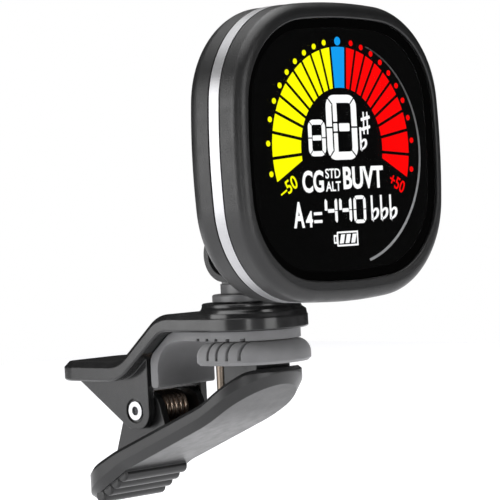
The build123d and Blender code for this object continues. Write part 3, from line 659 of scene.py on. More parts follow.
@dataclass(frozen=True)
class PrintedInk:
    """Screen-printed ink whose colour runs from one height to another, with a glow of that colour added; on
    the printed arc behind the window this glow is painted light. Heights are millimetres.
    """

    name: str
    low_colour: Colour
    high_colour: Colour
    low: float = 0.0
    high: float = 60.0
    roughness: float = 0.45
    glow: float = 0.0
    shine: float = 0.5

    def material(self) -> bpy.types.Material:
        """Write the ink's node tree.

        Returns:
            The new material.
        """
        made = bpy.data.materials.new(self.name)
        made.use_nodes = True
        nodes, links = made.node_tree.nodes, made.node_tree.links
        nodes.clear()

        place = nodes.new("ShaderNodeTexCoord")
        place.label = "Place on the print"
        height = nodes.new("ShaderNodeSeparateXYZ")
        height.label = "Height"
        fade = nodes.new("ShaderNodeMapRange")
        fade.label = "Fade with height"
        mesh = nodes.new("ShaderNodeTexNoise")
        mesh.label = "Screen mesh unevenness"
        ink = nodes.new("ShaderNodeMix")
        ink.label = "Faded ink"
        gloss = nodes.new("ShaderNodeMapRange")
        gloss.label = "Ink gloss"
        relief = nodes.new("ShaderNodeBump")
        relief.label = "Ink thickness"
        film = nodes.new("ShaderNodeBsdfPrincipled")
        film.label = "Ink film"
        output = nodes.new("ShaderNodeOutputMaterial")
        output.label = "Surface"

        groups = {
            "Print pattern": (place, height, fade, mesh),
            "Colour": (ink,),
            "Gloss and relief": (gloss, relief),
            "Result": (film, output),
        }
        for column, (title, members) in enumerate(groups.items()):
            group = nodes.new("NodeFrame")
            group.label = title
            for row, node in enumerate(members):
                node.parent = group
                node.location = (column * COLUMN, row * ROW)

        fade.inputs["From Min"].default_value = self.low * MM
        fade.inputs["From Max"].default_value = self.high * MM
        mesh.inputs["Scale"].default_value = 5200.0
        ink.data_type = "RGBA"
        ink.inputs[MIX_A].default_value = self.low_colour
        ink.inputs[MIX_B].default_value = self.high_colour
        gloss.inputs["To Min"].default_value = self.roughness
        gloss.inputs["To Max"].default_value = self.roughness + 0.15
        relief.inputs["Distance"].default_value = 0.002 * MM
        film.inputs["Specular IOR Level"].default_value = self.shine
        # The ink colour is also emitted; on the printed arc this is a painted glow.
        film.inputs["Emission Strength"].default_value = self.glow

        links.new(place.outputs["Object"], height.inputs["Vector"])
        links.new(height.outputs["Z"], fade.inputs["Value"])
        links.new(place.outputs["Object"], mesh.inputs["Vector"])
        links.new(fade.outputs["Result"], ink.inputs["Factor"])
        links.new(mesh.outputs["Fac"], gloss.inputs["Value"])
        links.new(mesh.outputs["Fac"], relief.inputs["Height"])
        links.new(ink.outputs[MIX_OUT], film.inputs["Base Color"])
        links.new(ink.outputs[MIX_OUT], film.inputs["Emission Color"])
        links.new(gloss.outputs["Result"], film.inputs["Roughness"])
        links.new(relief.outputs["Normal"], film.inputs["Normal"])
        links.new(film.outputs["BSDF"], output.inputs["Surface"])
        return made


Finish = MouldedPlastic | WorkedMetal | GripRubber | ClearWindow | StripedSheet | LitSegment | PrintedInk


def grey(level: float) -> Colour:
    """Neutral colour of the given linear level."""
    return (level, level, level * 1.02, 1.0)


CASE_SKIN = MouldedPlastic(
    "case_soft_black", grey(0.007), grey(0.011), grey(0.035), roughness=(0.32, 0.46), grain=0.26,
    relief=0.04)
ARM_SKIN = MouldedPlastic(
    "clip_gloss_black", grey(0.010), grey(0.014), grey(0.06), roughness=(0.15, 0.24), grain=0.1,
    relief=0.0015, edge=0.3)
LOWER_SKIN = MouldedPlastic(
    "clip_satin_black", grey(0.008), grey(0.012), grey(0.05), roughness=(0.28, 0.38), grain=0.1,
    relief=0.003, edge=0.3)
NECK_SKIN = MouldedPlastic(
    "neck_satin_grey", grey(0.10), grey(0.13), grey(0.22), roughness=(0.26, 0.36), grain=0.1, relief=0.003)
BUTTON_SKIN = MouldedPlastic(
    "button_matte_black", grey(0.03), grey(0.04), grey(0.11), roughness=(0.5, 0.62), grain=0.14,
    relief=0.008)
CHIP_SKIN = MouldedPlastic(
    "chip_package", grey(0.012), grey(0.016), grey(0.03), roughness=(0.5, 0.6), grain=0.08, relief=0.006,
    edge=0.05)
LIGHT_SKIN = MouldedPlastic(
    "light_guide_milk", grey(0.7), grey(0.78), grey(0.85), roughness=(0.2, 0.3), grain=0.4, relief=0.003)
NYLON_SKIN = MouldedPlastic(
    "washer_nylon", grey(0.45), grey(0.55), grey(0.65), roughness=(0.4, 0.5), relief=0.003, edge=0.05)
DISPLAY_GLASS = MouldedPlastic(
    "display_dark_glass", grey(0.001), grey(0.0014), grey(0.002), roughness=(0.3, 0.4), grain=0.5,
    relief=0.0005, edge=0.05, ior=1.1)
PAD_SKIN = GripRubber("pad_grey_rubber", grey(0.13), grey(0.21))
BAND_METAL = WorkedMetal(
    "band_satin_silver", grey(0.58), grey(0.46), roughness=(0.34, 0.46), line_pitch=(0.09, 3.0, 0.09),
    relief=0.004, edge=0.06)
STEEL_METAL = WorkedMetal(
    "pin_bright_steel", grey(0.72), grey(0.6), roughness=(0.18, 0.3), line_pitch=(3.0, 0.06, 0.06))
SPRING_METAL = WorkedMetal(
    "spring_bronze_wire", (0.85, 0.68, 0.54, 1.0), (0.50, 0.38, 0.30, 1.0), roughness=(0.2, 0.32),
    line_pitch=(0.4, 0.05, 0.05), relief=0.003)
POST_METAL = WorkedMetal(
    "post_bronze", (0.26, 0.21, 0.17, 1.0), (0.18, 0.15, 0.12, 1.0), roughness=(0.24, 0.36),
    line_pitch=(0.06, 0.06, 5.0))
BRASS_METAL = WorkedMetal("pickup_brass", (0.78, 0.58, 0.26, 1.0), (0.62, 0.44, 0.2, 1.0))
LEAF_METAL = WorkedMetal(
    "contact_nickel", (0.66, 0.64, 0.58, 1.0), (0.55, 0.52, 0.46, 1.0), roughness=(0.2, 0.3),
    line_pitch=(2.0, 0.1, 0.1))
WINDOW_SKIN = ClearWindow("window_clear")
BOARD_SKIN = StripedSheet(
    "board_green", (0.012, 0.09, 0.04, 1.0), (0.03, 0.2, 0.09, 1.0), pitch=1.3, line_share=0.4, wander=2.5)
CONNECTOR_SKIN = StripedSheet(
    "connector_stripes", (0.5, 0.32, 0.24, 1.0), (0.05, 0.04, 0.04, 1.0), pitch=0.5, line_share=0.5,
    wander=0.0)
YELLOW_LIGHT = LitSegment("segment_yellow", (1.0, 1.0, 0.0, 1.0), (0.92, 0.9, 0.0, 1.0))
RED_LIGHT = LitSegment("segment_red", (1.0, 0.0, 0.0, 1.0), (0.88, 0.0, 0.0, 1.0))
BLUE_LIGHT = LitSegment("segment_blue", (0.005, 0.34, 0.87, 1.0), (0.004, 0.3, 0.8, 1.0))
WHITE_LIGHT = LitSegment("segment_white", (1.0, 1.0, 1.0, 1.0), (0.9, 0.92, 0.94, 1.0))
# The printed arc is given a painted glow: its grey ink is emitted as light, paler at the bottom and darker
# towards the top.
ARC_INK_PAINTED_GLOW = PrintedInk("arc_grey_ink_painted_glow", grey(0.20), grey(0.03), low=20.0, high=48.0, glow=0.9)
FIELD_INK = PrintedInk("field_black_ink", grey(0.0006), grey(0.0008), roughness=0.6, shine=0.0)
SYMBOL_INK = PrintedInk("symbol_white_ink", grey(0.55), grey(0.6))
BACKDROP_PAPER = PrintedInk(
    "backdrop_paper", grey(0.86), grey(0.9), low=-60.0, high=-30.0, roughness=0.8, glow=0.44)


# ---- hand tools ---------------------------------------------------------------------------
# A bar's corner easing as a share of its width, and a dot's rim as a share of its diameter.
BAR_EASE = 0.16
DOT_RIM = 0.12
DOT_SIDES = 24

# How near its shape's centre a middle face lies in millimetres, how near a cut takes an existing vertex
# in metres, and the share of a gap's width in which its faces have their centres.
MIDDLE_REACH = 0.012
CUT_REACH = 1e-7
GAP_SHARE = 0.95


def deselect_all() -> None:
    """Leave nothing selected, so that the next operator acts on its own piece alone."""
    bpy.ops.object.select_all(action="DESELECT")


def take_up(piece: bpy.types.Object) -> None:
    """Make a piece the one selected and active object.

    Args:
        piece: The object.
    """
    deselect_all()
    piece.select_set(True)
    bpy.context.view_layer.objects.active = piece


def copied(source: bpy.types.Object) -> bpy.types.Object:
    """Copy an object with a mesh of its own.

    Args:
        source: The object to copy.

    Returns:
        The copy, linked to the scene.
    """
    twin = source.copy()
    twin.data = source.data.copy()
    bpy.context.scene.collection.objects.link(twin)
    return twin


def flat_rectangle(width: float, height: float) -> bpy.types.Object:
    """Rectangle at the origin, left in edit mode with all of it selected.

    Args:
        width, height: Size in millimetres.

    Returns:
        The rectangle.
    """
    deselect_all()
    bpy.ops.mesh.primitive_plane_add(size=1.0)
    rectangle = bpy.context.object
    rectangle.scale = (width * MM, height * MM, 1.0)
    bpy.ops.object.transform_apply(scale=True, location=False, rotation=False)
    bpy.ops.object.mode_set(mode="EDIT")
    bpy.ops.mesh.select_all(action="SELECT")
    return rectangle


def flat_disc(diameter: float, rim: float, sides: int) -> bpy.types.Object:
    """Disc at the origin with a ring of faces along its rim, left in edit mode.

    Args:
        diameter: Size in millimetres.
        rim: Width of the ring in millimetres.
        sides: How many sides its outline has.

    Returns:
        The disc.
    """
    deselect_all()
    bpy.ops.mesh.primitive_circle_add(vertices=sides, radius=diameter / 2 * MM, fill_type="NGON")
    disc = bpy.context.object
    bpy.ops.object.mode_set(mode="EDIT")
    bpy.ops.mesh.select_all(action="SELECT")
    bpy.ops.mesh.inset(thickness=rim * MM, depth=0.0)
    return disc


def open_middle(piece: bpy.types.Object) -> None:
    """Delete the one face in the middle of an inset shape in edit mode."""
    pick_faces(piece, lambda face: face.calc_center_median().length < MIDDLE_REACH * MM)
    bpy.ops.mesh.delete(type="FACE")


def pick_faces(piece: bpy.types.Object, wanted: Callable[[bmesh.types.BMFace], bool]) -> int:
    """Select the faces of a piece in edit mode by their place.

    Args:
        piece: The object in edit mode.
        wanted: Says whether a face is selected.

    Returns:
        How many faces are selected.
    """
    mesh = bmesh.from_edit_mesh(piece.data)
    count = 0
    bpy.ops.mesh.select_all(action="DESELECT")
    bpy.context.tool_settings.mesh_select_mode = (False, False, True)
    for face in mesh.faces:
        if wanted(face):
            face.select_set(True)
            count += 1
    bmesh.update_edit_mesh(piece.data)
    return count


def pick_vertices(piece: bpy.types.Object, wanted: Callable[[bmesh.types.BMVert], bool]) -> None:
    """Select the vertices of a piece in edit mode by their place.

    Args:
        piece: The object in edit mode.
        wanted: Says whether a vertex is selected.
    """
    bpy.ops.mesh.select_all(action="DESELECT")
    bpy.context.tool_settings.mesh_select_mode = (True, False, False)
    mesh = bmesh.from_edit_mesh(piece.data)
    for vertex in mesh.verts:
        vertex.select_set(wanted(vertex))
    mesh.select_flush_mode()
    bmesh.update_edit_mesh(piece.data)


def joined(name: str, parts: Iterable[bpy.types.Object]) -> bpy.types.Object:
    """Join parts into one piece whose object sits at the origin.

    Args:
        name: Name of the finished piece.
        parts: The objects to join.

    Returns:
        The joined object.
    """
    members = list(parts)
    deselect_all()
    for part in members:
        part.select_set(True)
    bpy.context.view_layer.objects.active = members[0]
    if len(members) > 1:
        bpy.ops.object.join()
    piece = bpy.context.view_layer.objects.active
    piece.name = name
    piece.data.name = name
    bpy.ops.object.transform_apply(location=True, rotation=True, scale=True)
    return piece


def thicken(piece: bpy.types.Object, thickness: float) -> None:
    """Give a flat piece its thickness behind its face.

    Args:
        piece: A flat object.
        thickness: Millimetres.
    """
    take_up(piece)
    solid = piece.modifiers.new("Film thickness", "SOLIDIFY")
    solid.thickness = thickness * MM
    solid.offset = -1.0
    bpy.ops.object.modifier_apply(modifier=solid.name)


def dress(piece: bpy.types.Object, material: bpy.types.Material) -> None:
    """Put one material on every face of a piece."""
    piece.data.materials.clear()
    piece.data.materials.append(material)


def coated(film: float, dressed: list[Dressed]) -> list[bpy.types.Object]:
    """Give flat pieces their thickness and their materials.

    Args:
        film: Thickness in millimetres.
        dressed: Each piece with its material.

    Returns:
        The pieces.
    """
    for piece, material in dressed:
        thicken(piece, film)
        dress(piece, material)
    return [piece for piece, _ in dressed]


def dress_nodes(finish: Finish, *names: str) -> None:
    """Give CAD nodes a finish in their own material slots.

    Args:
        finish: The finish that is made into one material for all of them.
        names: CAD node names.
    """
    material = finish.material()
    for name in names:
        for slot in frame["nodes"][name].material_slots:
            slot.material = material


@dataclass(frozen=True)
class Legend:
    """Short lettering and the limits of the box that it is fitted into, in its layer's millimetres.

    The weight fattens the strokes, as a share of the letter size. The turn is in degrees clockwise.
    """

    body: str
    left: float
    right: float
    low: float
    high: float
    weight: float = 0.012
    turn: float = 0.0


@dataclass(frozen=True)
class PrintLayer:
    """Plane in which flat shapes are cut. Sizes are millimetres from the layer's centre.

    On a layer that faces the rear, a shape's X runs to the left as CAD's X runs to the right.
    """

    depth: float
    centre_x: float = 0.0
    centre_z: float = DISPLAY_MIDDLE
    facing: Facing = Facing.FRONT

    def place(self, x: float, z: float) -> Vector:
        """Point of the layer in metres."""
        side = 1.0 if self.facing is Facing.FRONT else -1.0
        return Vector(((self.centre_x + side * x) * MM, self.depth * MM, (self.centre_z + z) * MM))

    def stand(self, turn: float = 0.0) -> Matrix:
        """Rotation that stands a flat shape up in the layer.

        Args:
            turn: Radians clockwise, as seen from the layer's front.

        Returns:
            The rotation.
        """
        upright = Matrix.Rotation(math.pi / 2, 4, "X")
        return Matrix.Rotation(self.facing.value, 4, "Z") @ upright @ Matrix.Rotation(-turn, 4, "Z")

    def stood(self, shape: bpy.types.Object, x: float, z: float, turn: float = 0.0) -> bpy.types.Object:
        """Take a flat shape out of edit mode and stand it up in the layer.

        Args:
            shape: The flat shape.
            x, z: Where its centre goes.
            turn: Radians clockwise.

        Returns:
            The shape.
        """
        bpy.ops.object.mode_set(mode="OBJECT")
        shape.matrix_world = Matrix.Translation(self.place(x, z)) @ self.stand(turn)
        return shape

    def bar(self, x: float, z: float, width: float, height: float, turn: float = 0.0) -> bpy.types.Object:
        """Rectangle with slightly eased corners.

        Args:
            x, z: Centre.
            width, height: Size.
            turn: Radians clockwise.

        Returns:
            The flat object.
        """
        bar = flat_rectangle(width, height)
        bpy.ops.mesh.bevel(offset=BAR_EASE * min(width, height) * MM, segments=2, affect="VERTICES")
        return self.stood(bar, x, z, turn)

    def leaning_bar(self, x: float, z: float, width: float, height: float, lean: float) -> bpy.types.Object:
        """Upright bar whose top is pushed sideways.

        Args:
            x, z: Centre.
            width, height: Size.
            lean: How far the top moves to the right.

        Returns:
            The flat object.
        """
        bar = flat_rectangle(width, height)
        pick_vertices(bar, lambda vertex: vertex.co.y > 0)
        bpy.ops.transform.translate(value=(lean * MM, 0.0, 0.0))
        return self.stood(bar, x, z)

    def dot(self, x: float, z: float, diameter: float) -> bpy.types.Object:
        """Round dot, as one flat face with a finer ring round it.

        Args:
            x, z: Centre.
            diameter: Size.

        Returns:
            The flat object.
        """
        return self.stood(flat_disc(diameter, DOT_RIM * diameter, DOT_SIDES), x, z)

    def plate(self, x: float, z: float, width: float, height: float, corner: float) -> bpy.types.Object:
        """Rectangle with round corners.

        Args:
            x, z: Centre.
            width, height: Size.
            corner: Corner radius.

        Returns:
            The flat object.
        """
        plate = flat_rectangle(width, height)
        bpy.ops.mesh.bevel(offset=corner * MM, segments=6, affect="VERTICES")
        return self.stood(plate, x, z)

    def ring(self, x: float, z: float, width: float, height: float, corner: float,
             stroke: float) -> bpy.types.Object:
        """Rounded rectangular outline.

        Args:
            x, z: Centre.
            width, height: Outer size.
            corner: Outer corner radius.
            stroke: Width of the line.

        Returns:
            The flat object.
        """
        ring = self.plate(x, z, width, height, corner)
        bpy.ops.object.mode_set(mode="EDIT")
        bpy.ops.mesh.select_all(action="SELECT")
        bpy.ops.mesh.inset(thickness=stroke * MM, depth=0.0)
        open_middle(ring)
        bpy.ops.object.mode_set(mode="OBJECT")
        return ring

    def lettering(self, legend: Legend) -> bpy.types.Object:
        """Short lettering fitted into its box.

        Args:
            legend: The characters and their box.

        Returns:
            The flat object.
        """
        deselect_all()
        bpy.ops.object.text_add()
        letters = bpy.context.object
        letters.data.body = legend.body
        letters.data.offset = legend.weight
        letters.data.resolution_u = 4
        bpy.ops.object.convert(target="MESH")
        letters = bpy.context.object
        corners = [vertex.co for vertex in letters.data.vertices]
        start = Vector([min(point[axis] for point in corners) for axis in range(2)])
        end = Vector([max(point[axis] for point in corners) for axis in range(2)])
        middle = Matrix.Translation((-(start.x + end.x) / 2, -(start.y + end.y) / 2, 0.0))
        wider = (legend.right - legend.left) * MM / (end.x - start.x)
        taller = (legend.high - legend.low) * MM / (end.y - start.y)
        letters.data.transform(Matrix.Diagonal((wider, taller, 1.0, 1.0)) @ middle)
        centre = self.place((legend.left + legend.right) / 2, (legend.low + legend.high) / 2)
        letters.matrix_world = Matrix.Translation(centre) @ self.stand(math.radians(legend.turn))
        return letters

    def cut(self, piece: bpy.types.Object, start: Point, end: Point, gap: float) -> None:
        """Cut a straight gap through a flat piece whose object is already at the origin.

        Args:
            piece: The flat piece.
            start, end: Ends of the gap's middle line.
            gap: Width of the gap.
        """
        first, last = self.place(*start), self.place(*end)
        along = (last - first).normalized()
        across = along.cross(Vector((0.0, 1.0, 0.0))).normalized()
        half = gap / 2 * MM
        for side in (-1.0, 1.0):
            bpy.ops.mesh.select_all(action="SELECT")
            bpy.ops.mesh.bisect(plane_co=first + across * half * side, plane_no=across, threshold=CUT_REACH)

        def in_gap(face: bmesh.types.BMFace) -> bool:
            """Whether a face lies in the band between the two cuts.

            Args:
                face: A face of the piece.

            Returns:
                True for a face of the gap.
            """
            offset = face.calc_center_median() - first
            run = offset.dot(along)
            return abs(offset.dot(across)) < half * GAP_SHARE and 0.0 < run < (last - first).length

        if pick_faces(piece, in_gap):
            bpy.ops.mesh.delete(type="FACE")


# ---- display ------------------------------------------------------------------------------
def polar(radius: float, angle: float) -> Point:
    """Point at a radius and an angle in degrees clockwise from the top."""
    turn = math.radians(angle)
    return (radius * math.sin(turn), radius * math.cos(turn))


@dataclass
class CentsDial:
    """Fan of lit wedges and dots that shows how far a note is off pitch.

    centre_sides and last_sides are the outer and inner angles, in degrees from the top, of the gaps beside
    the middle wedge and of the lowest gaps. The other angles are the dots', and a gap lies halfway between
    two of them. The cuts pass both edges of the ring by the overrun, a share of its radius.
    """

    layer: PrintLayer = PrintLayer(DISPLAY_FRONT - LIT_LIFT)
    inner: float = 10.2
    outer: float = 17.05
    gap: float = 0.52
    dot_radius: float = 18.0
    dot_diameter: float = 0.95
    centre_dot: float = 1.45
    centre_sides: Point = (6.1, 8.6)
    last_sides: Point = (109.5, 100.0)
    angles: tuple[float, ...] = (10.8, 19.1, 27.6, 36.2, 45.0, 54.1, 63.5, 73.8, 86.5, 102.5)
    facets: int = 180
    overrun: float = 0.1
    film: float = 0.04

    def boundaries(self) -> list[Point]:
        """Outer and inner angle of each gap on one side, from the top down."""
        between = [(a + b) / 2 for a, b in zip(self.angles, self.angles[1:])]
        return [self.centre_sides, *((angle, angle) for angle in between), self.last_sides]

    def fan(self) -> bpy.types.Object:
        """Ring cut into wedges by the gaps, with the open bottom removed.

        Returns:
            One flat object that holds every wedge.
        """
        fan = flat_disc(2 * self.outer, self.outer - self.inner, self.facets)
        open_middle(fan)
        fan = joined("dial_fan", [self.layer.stood(fan, 0.0, 0.0)])
        bpy.ops.object.mode_set(mode="EDIT")
        for side in (-1, 1):
            for outer_angle, inner_angle in self.boundaries():
                start = polar(self.inner * (1.0 - self.overrun), side * inner_angle)
                end = polar(self.outer * (1.0 + self.overrun), side * outer_angle)
                self.layer.cut(fan, start, end, self.gap)
        limit = self.last_sides
        middle = self.layer.place(0.0, 0.0)

        def below(face: bmesh.types.BMFace) -> bool:
            """Whether a face belongs to the open bottom of the ring.

            Args:
                face: A face of the fan.

            Returns:
                True for a face below the last gaps.
            """
            offset = (face.calc_center_median() - middle) / MM
            share = (math.hypot(offset.x, offset.z) - self.inner) / (self.outer - self.inner)
            angle = math.degrees(math.atan2(abs(offset.x), offset.z))
            return angle > limit[1] + (limit[0] - limit[1]) * share

        pick_faces(fan, below)
        bpy.ops.mesh.delete(type="FACE")
        bpy.ops.object.mode_set(mode="OBJECT")
        return fan

    def wedges(self, name: str, wanted: Callable[[float], bool], fan: bpy.types.Object) -> bpy.types.Object:
        """Copy of the fan that keeps only the wedges of one colour.

        Args:
            name: Name of the piece.
            wanted: Says whether a wedge stays, by its signed angle in degrees from the top.
            fan: The whole fan.

        Returns:
            The piece.
        """
        piece = copied(fan)
        take_up(piece)
        middle = self.layer.place(0.0, 0.0)
        bpy.ops.object.mode_set(mode="EDIT")

        def other(face: bmesh.types.BMFace) -> bool:
            """Whether a face belongs to another colour."""
            offset = face.calc_center_median() - middle
            return not wanted(math.degrees(math.atan2(offset.x, offset.z)))

        pick_faces(piece, other)
        bpy.ops.mesh.delete(type="FACE")
        bpy.ops.object.mode_set(mode="OBJECT")
        return joined(name, [piece])

    def dots(self, name: str, side: int) -> bpy.types.Object:
        """Small dots of one side, copied from a single dot.

        Args:
            name: Name of the piece.
            side: -1 for the flat side and 1 for the sharp side.

        Returns:
            The piece.
        """
        first = self.layer.dot(0.0, 0.0, self.dot_diameter)
        spots = []
        for angle in self.angles:
            spot = copied(first)
            spot.location = self.layer.place(*polar(self.dot_radius, side * angle))
            spots.append(spot)
        bpy.data.objects.remove(first)
        return joined(name, spots)

    def build(self) -> list[bpy.types.Object]:
        """Model and dress the dial.

        Returns:
            Its pieces.
        """
        yellow, red, blue = YELLOW_LIGHT.material(), RED_LIGHT.material(), BLUE_LIGHT.material()
        fan = self.fan()
        edge = sum(self.centre_sides) / 2
        top = joined("centre_dot", [self.layer.dot(0.0, self.dot_radius, self.centre_dot)])
        dressed = [
            (self.wedges("flat_side_wedges", lambda angle: angle < -edge, fan), yellow),
            (self.wedges("sharp_side_wedges", lambda angle: angle > edge, fan), red),
            (self.wedges("in_tune_wedge", lambda angle: abs(angle) < edge, fan), blue),
            (self.dots("flat_side_dots", -1), yellow),
            (self.dots("sharp_side_dots", 1), red),
            (top, blue),
        ]
        bpy.data.objects.remove(fan)
        return coated(self.film, dressed)


# Letters of a figure's segments.
SIDE_SEGMENTS = {
    ("right", "upper"): "b",
    ("right", "lower"): "c",
    ("left", "lower"): "e",
    ("left", "upper"): "f",
}
END_SEGMENTS = {"upper": "a", "lower": "d"}


@dataclass(frozen=True)
class Figure:
    """Seven-segment figure by its centre, outer size and width of a segment, in millimetres.

    The dark segments are off, and go by the usual letters a to g.
    """

    x: float
    z: float
    width: float
    height: float
    stroke: float
    dark: str = ""


@dataclass
class Readout:
    """Lit digits, letters and signs inside and below the dial."""

    layer: PrintLayer = PrintLayer(DISPLAY_FRONT - LIT_LIFT)
    film: float = 0.04

    # Corner and mitre are shares of a figure's stroke. A stroke under full_stroke has a finer gap.
    gap: float = 0.28
    full_stroke: float = 1.2
    corner: float = 1.5
    mitre: float = 1.6

    note: Figure = Figure(x=0.1, z=3.55, width=7.6, height=10.9, stroke=1.35, dark="g")
    column_shift: float = -1.6
    column_rise: float = 2.55
    column_size: Point = (0.95, 3.2)
    cross_shift: float = 0.62
    cross_length: float = 2.6
    octave: Figure = Figure(x=-6.2, z=1.85, width=4.2, height=6.1, stroke=0.85)

    sharp_centre: Point = (6.12, 4.2)
    sharp_posts: Point = (5.65, 6.6)
    sharp_post_size: Point = (0.3, 3.8)
    sharp_bars: Point = (3.35, 5.0)
    sharp_bar_size: Point = (2.3, 0.55)
    sharp_slope: float = -12.0
    flat: Legend = Legend("♭", left=4.5, right=6.3, low=-0.6, high=3.5)

    mode_row: tuple[Legend, ...] = (
        Legend("CG", left=-10.3, right=-5.1, low=-7.2, high=-3.5, weight=0.03),
        Legend("STD", left=-4.6, right=-0.9, low=-4.95, high=-3.3, weight=0.015),
        Legend("ALT", left=-4.6, right=-0.9, low=-7.1, high=-5.45, weight=0.015),
        Legend("BUVT", left=-0.2, right=10.0, low=-6.9, high=-3.1, weight=0.03),
    )
    pitch_names: tuple[Legend, ...] = (
        Legend("A", left=-12.8, right=-10.2, low=-12.9, high=-8.6, weight=0.03),
        Legend("4", left=-9.9, right=-8.2, low=-12.9, high=-10.2, weight=0.03),
    )
    equals_x: float = -6.9
    equals_bars: Point = (-10.7, -12.0)
    equals_size: Point = (2.0, 0.5)
    pitch_z: float = -10.35
    pitch_size: Point = (3.1, 4.7)
    pitch_stroke: float = 0.62
    figure_spacing: float = 3.6
    pitch_dark: tuple[str, ...] = ("ade", "ade", "g")
    pitch_flats: tuple[float, ...] = (6.5, 8.9, 11.3)
    pitch_flat_width: float = 2.0
    pitch_flat_span: Point = (-12.6, -8.1)

    battery_z: float = -15.15
    battery_x: float = 0.15
    battery_size: Point = (5.3, 2.5)
    battery_corner: float = 0.12
    battery_line: float = 0.3
    terminal_x: float = -2.85
    terminal_size: Point = (0.95, 1.4)
    terminal_corner: float = 0.08
    terminal_line: float = 0.28
    charge_bars: tuple[float, ...] = (-1.4, 0.05, 1.5)
    charge_size: Point = (0.95, 1.5)
    charge_lean: float = 0.45

    low_limit: Legend = Legend("–50", left=-15.9, right=-11.5, low=-7.2, high=-4.9, turn=-28.0)
    high_limit: Legend = Legend("+50", left=11.6, right=15.6, low=-7.3, high=-5.1, turn=28.0)

    def digit(self, figure: Figure) -> bpy.types.Object:
        """Seven-segment figure made from one outline, cut at its mitres.

        Args:
            figure: Its place, size and dark segments.

        Returns:
            The flat figure.
        """
        x, z, stroke = figure.x, figure.z, figure.stroke
        half_w, half_h = figure.width / 2, figure.height / 2
        gap = self.gap * min(1.0, stroke / self.full_stroke)
        reach = self.mitre * stroke
        outline = self.layer.ring(x, z, figure.width, figure.height, stroke * self.corner, stroke)
        ring = joined("digit", [outline])
        bpy.ops.object.mode_set(mode="EDIT")
        for side_x in (-1, 1):
            for side_z in (-1, 1):
                corner = (x + side_x * half_w, z + side_z * half_h)
                inside = (corner[0] - side_x * reach, corner[1] - side_z * reach)
                self.layer.cut(ring, corner, inside, gap)
        self.layer.cut(ring, (x - half_w, z), (x + half_w, z), gap)
        middle = self.layer.place(x, z)

        def switched_off(face: bmesh.types.BMFace) -> bool:
            """Whether a face belongs to a dark segment.

            Args:
                face: A face of the outline.

            Returns:
                True for a face that is taken away.
            """
            offset = (face.calc_center_median() - middle) / MM
            row = "upper" if offset.z > 0 else "lower"
            if half_h - abs(offset.z) > half_w - abs(offset.x):
                side = "right" if offset.x > 0 else "left"
                return SIDE_SEGMENTS[side, row] in figure.dark
            return END_SEGMENTS[row] in figure.dark

        if pick_faces(ring, switched_off):
            bpy.ops.mesh.delete(type="FACE")
        bpy.ops.object.mode_set(mode="OBJECT")
        if "g" in figure.dark:
            return ring
        bar = self.layer.bar(x, z, figure.width - 2 * stroke - 2 * gap, stroke)
        return joined("digit", [ring, bar])

    def note_digit(self) -> bpy.types.Object:
        """Large note figure with the extra inner column that its letters need.

        Returns:
            The flat figure.
        """
        note, (thin, tall) = self.note, self.column_size
        column = note.x + self.column_shift
        parts = [self.digit(note)]
        parts += [self.layer.bar(column, note.z + side * self.column_rise, thin, tall) for side in (-1, 1)]
        parts += [
            self.layer.bar(column, note.z, thin, note.stroke),
            self.layer.bar(note.x + self.cross_shift, note.z, self.cross_length, note.stroke),
        ]
        return joined("note_digit", parts)

    def octave_digit(self) -> bpy.types.Object:
        """Small octave figure to the left of the note."""
        return joined("octave_digit", [self.digit(self.octave)])

    def note_signs(self) -> bpy.types.Object:
        """Sharp and flat signs to the right of the note.

        Returns:
            The flat signs.
        """
        middle_x, middle_z = self.sharp_centre
        slope = math.radians(self.sharp_slope)
        signs = [self.layer.bar(x, middle_z, *self.sharp_post_size) for x in self.sharp_posts]
        signs += [self.layer.bar(middle_x, z, *self.sharp_bar_size, slope) for z in self.sharp_bars]
        return joined("note_signs", [*signs, self.layer.lettering(self.flat)])

    def mode_letters(self) -> bpy.types.Object:
        """Row of instrument initials."""
        return joined("mode_letters", [self.layer.lettering(legend) for legend in self.mode_row])

    def pitch_row(self) -> bpy.types.Object:
        """Calibration pitch with its figures and three flat signs.

        Returns:
            The flat row.
        """
        row = [self.layer.lettering(legend) for legend in self.pitch_names]
        row += [self.layer.bar(self.equals_x, z, *self.equals_size) for z in self.equals_bars]
        for place, dark in enumerate(self.pitch_dark, start=-1):
            centre = (place * self.figure_spacing, self.pitch_z)
            row.append(self.digit(Figure(*centre, *self.pitch_size, self.pitch_stroke, dark)))
        for left in self.pitch_flats:
            flat = Legend("♭", left, left + self.pitch_flat_width, *self.pitch_flat_span)
            row.append(self.layer.lettering(flat))
        return joined("pitch_row", row)

    def battery_sign(self) -> bpy.types.Object:
        """Battery outline with its terminal and three slanted charge bars.

        Returns:
            The flat sign.
        """
        layer, z = self.layer, self.battery_z
        battery_line = (self.battery_corner, self.battery_line)
        terminal_line = (self.terminal_corner, self.terminal_line)
        parts = [
            layer.ring(self.battery_x, z, *self.battery_size, *battery_line),
            layer.ring(self.terminal_x, z, *self.terminal_size, *terminal_line),
        ]
        parts += [layer.leaning_bar(x, z, *self.charge_size, self.charge_lean) for x in self.charge_bars]
        return joined("battery_sign", parts)

    def build(self) -> list[bpy.types.Object]:
        """Model and dress the readout.

        Returns:
            Its pieces.
        """
        white, yellow, red = WHITE_LIGHT.material(), YELLOW_LIGHT.material(), RED_LIGHT.material()
        low = joined("low_limit_mark", [self.layer.lettering(self.low_limit)])
        high = joined("high_limit_mark", [self.layer.lettering(self.high_limit)])
        dressed = [
            (self.note_digit(), white),
            (self.octave_digit(), white),
            (self.note_signs(), white),
            (self.mode_letters(), white),
            (self.pitch_row(), white),
            (self.battery_sign(), white),
            (low, yellow),
            (high, red),
        ]
        return coated(self.film, dressed)


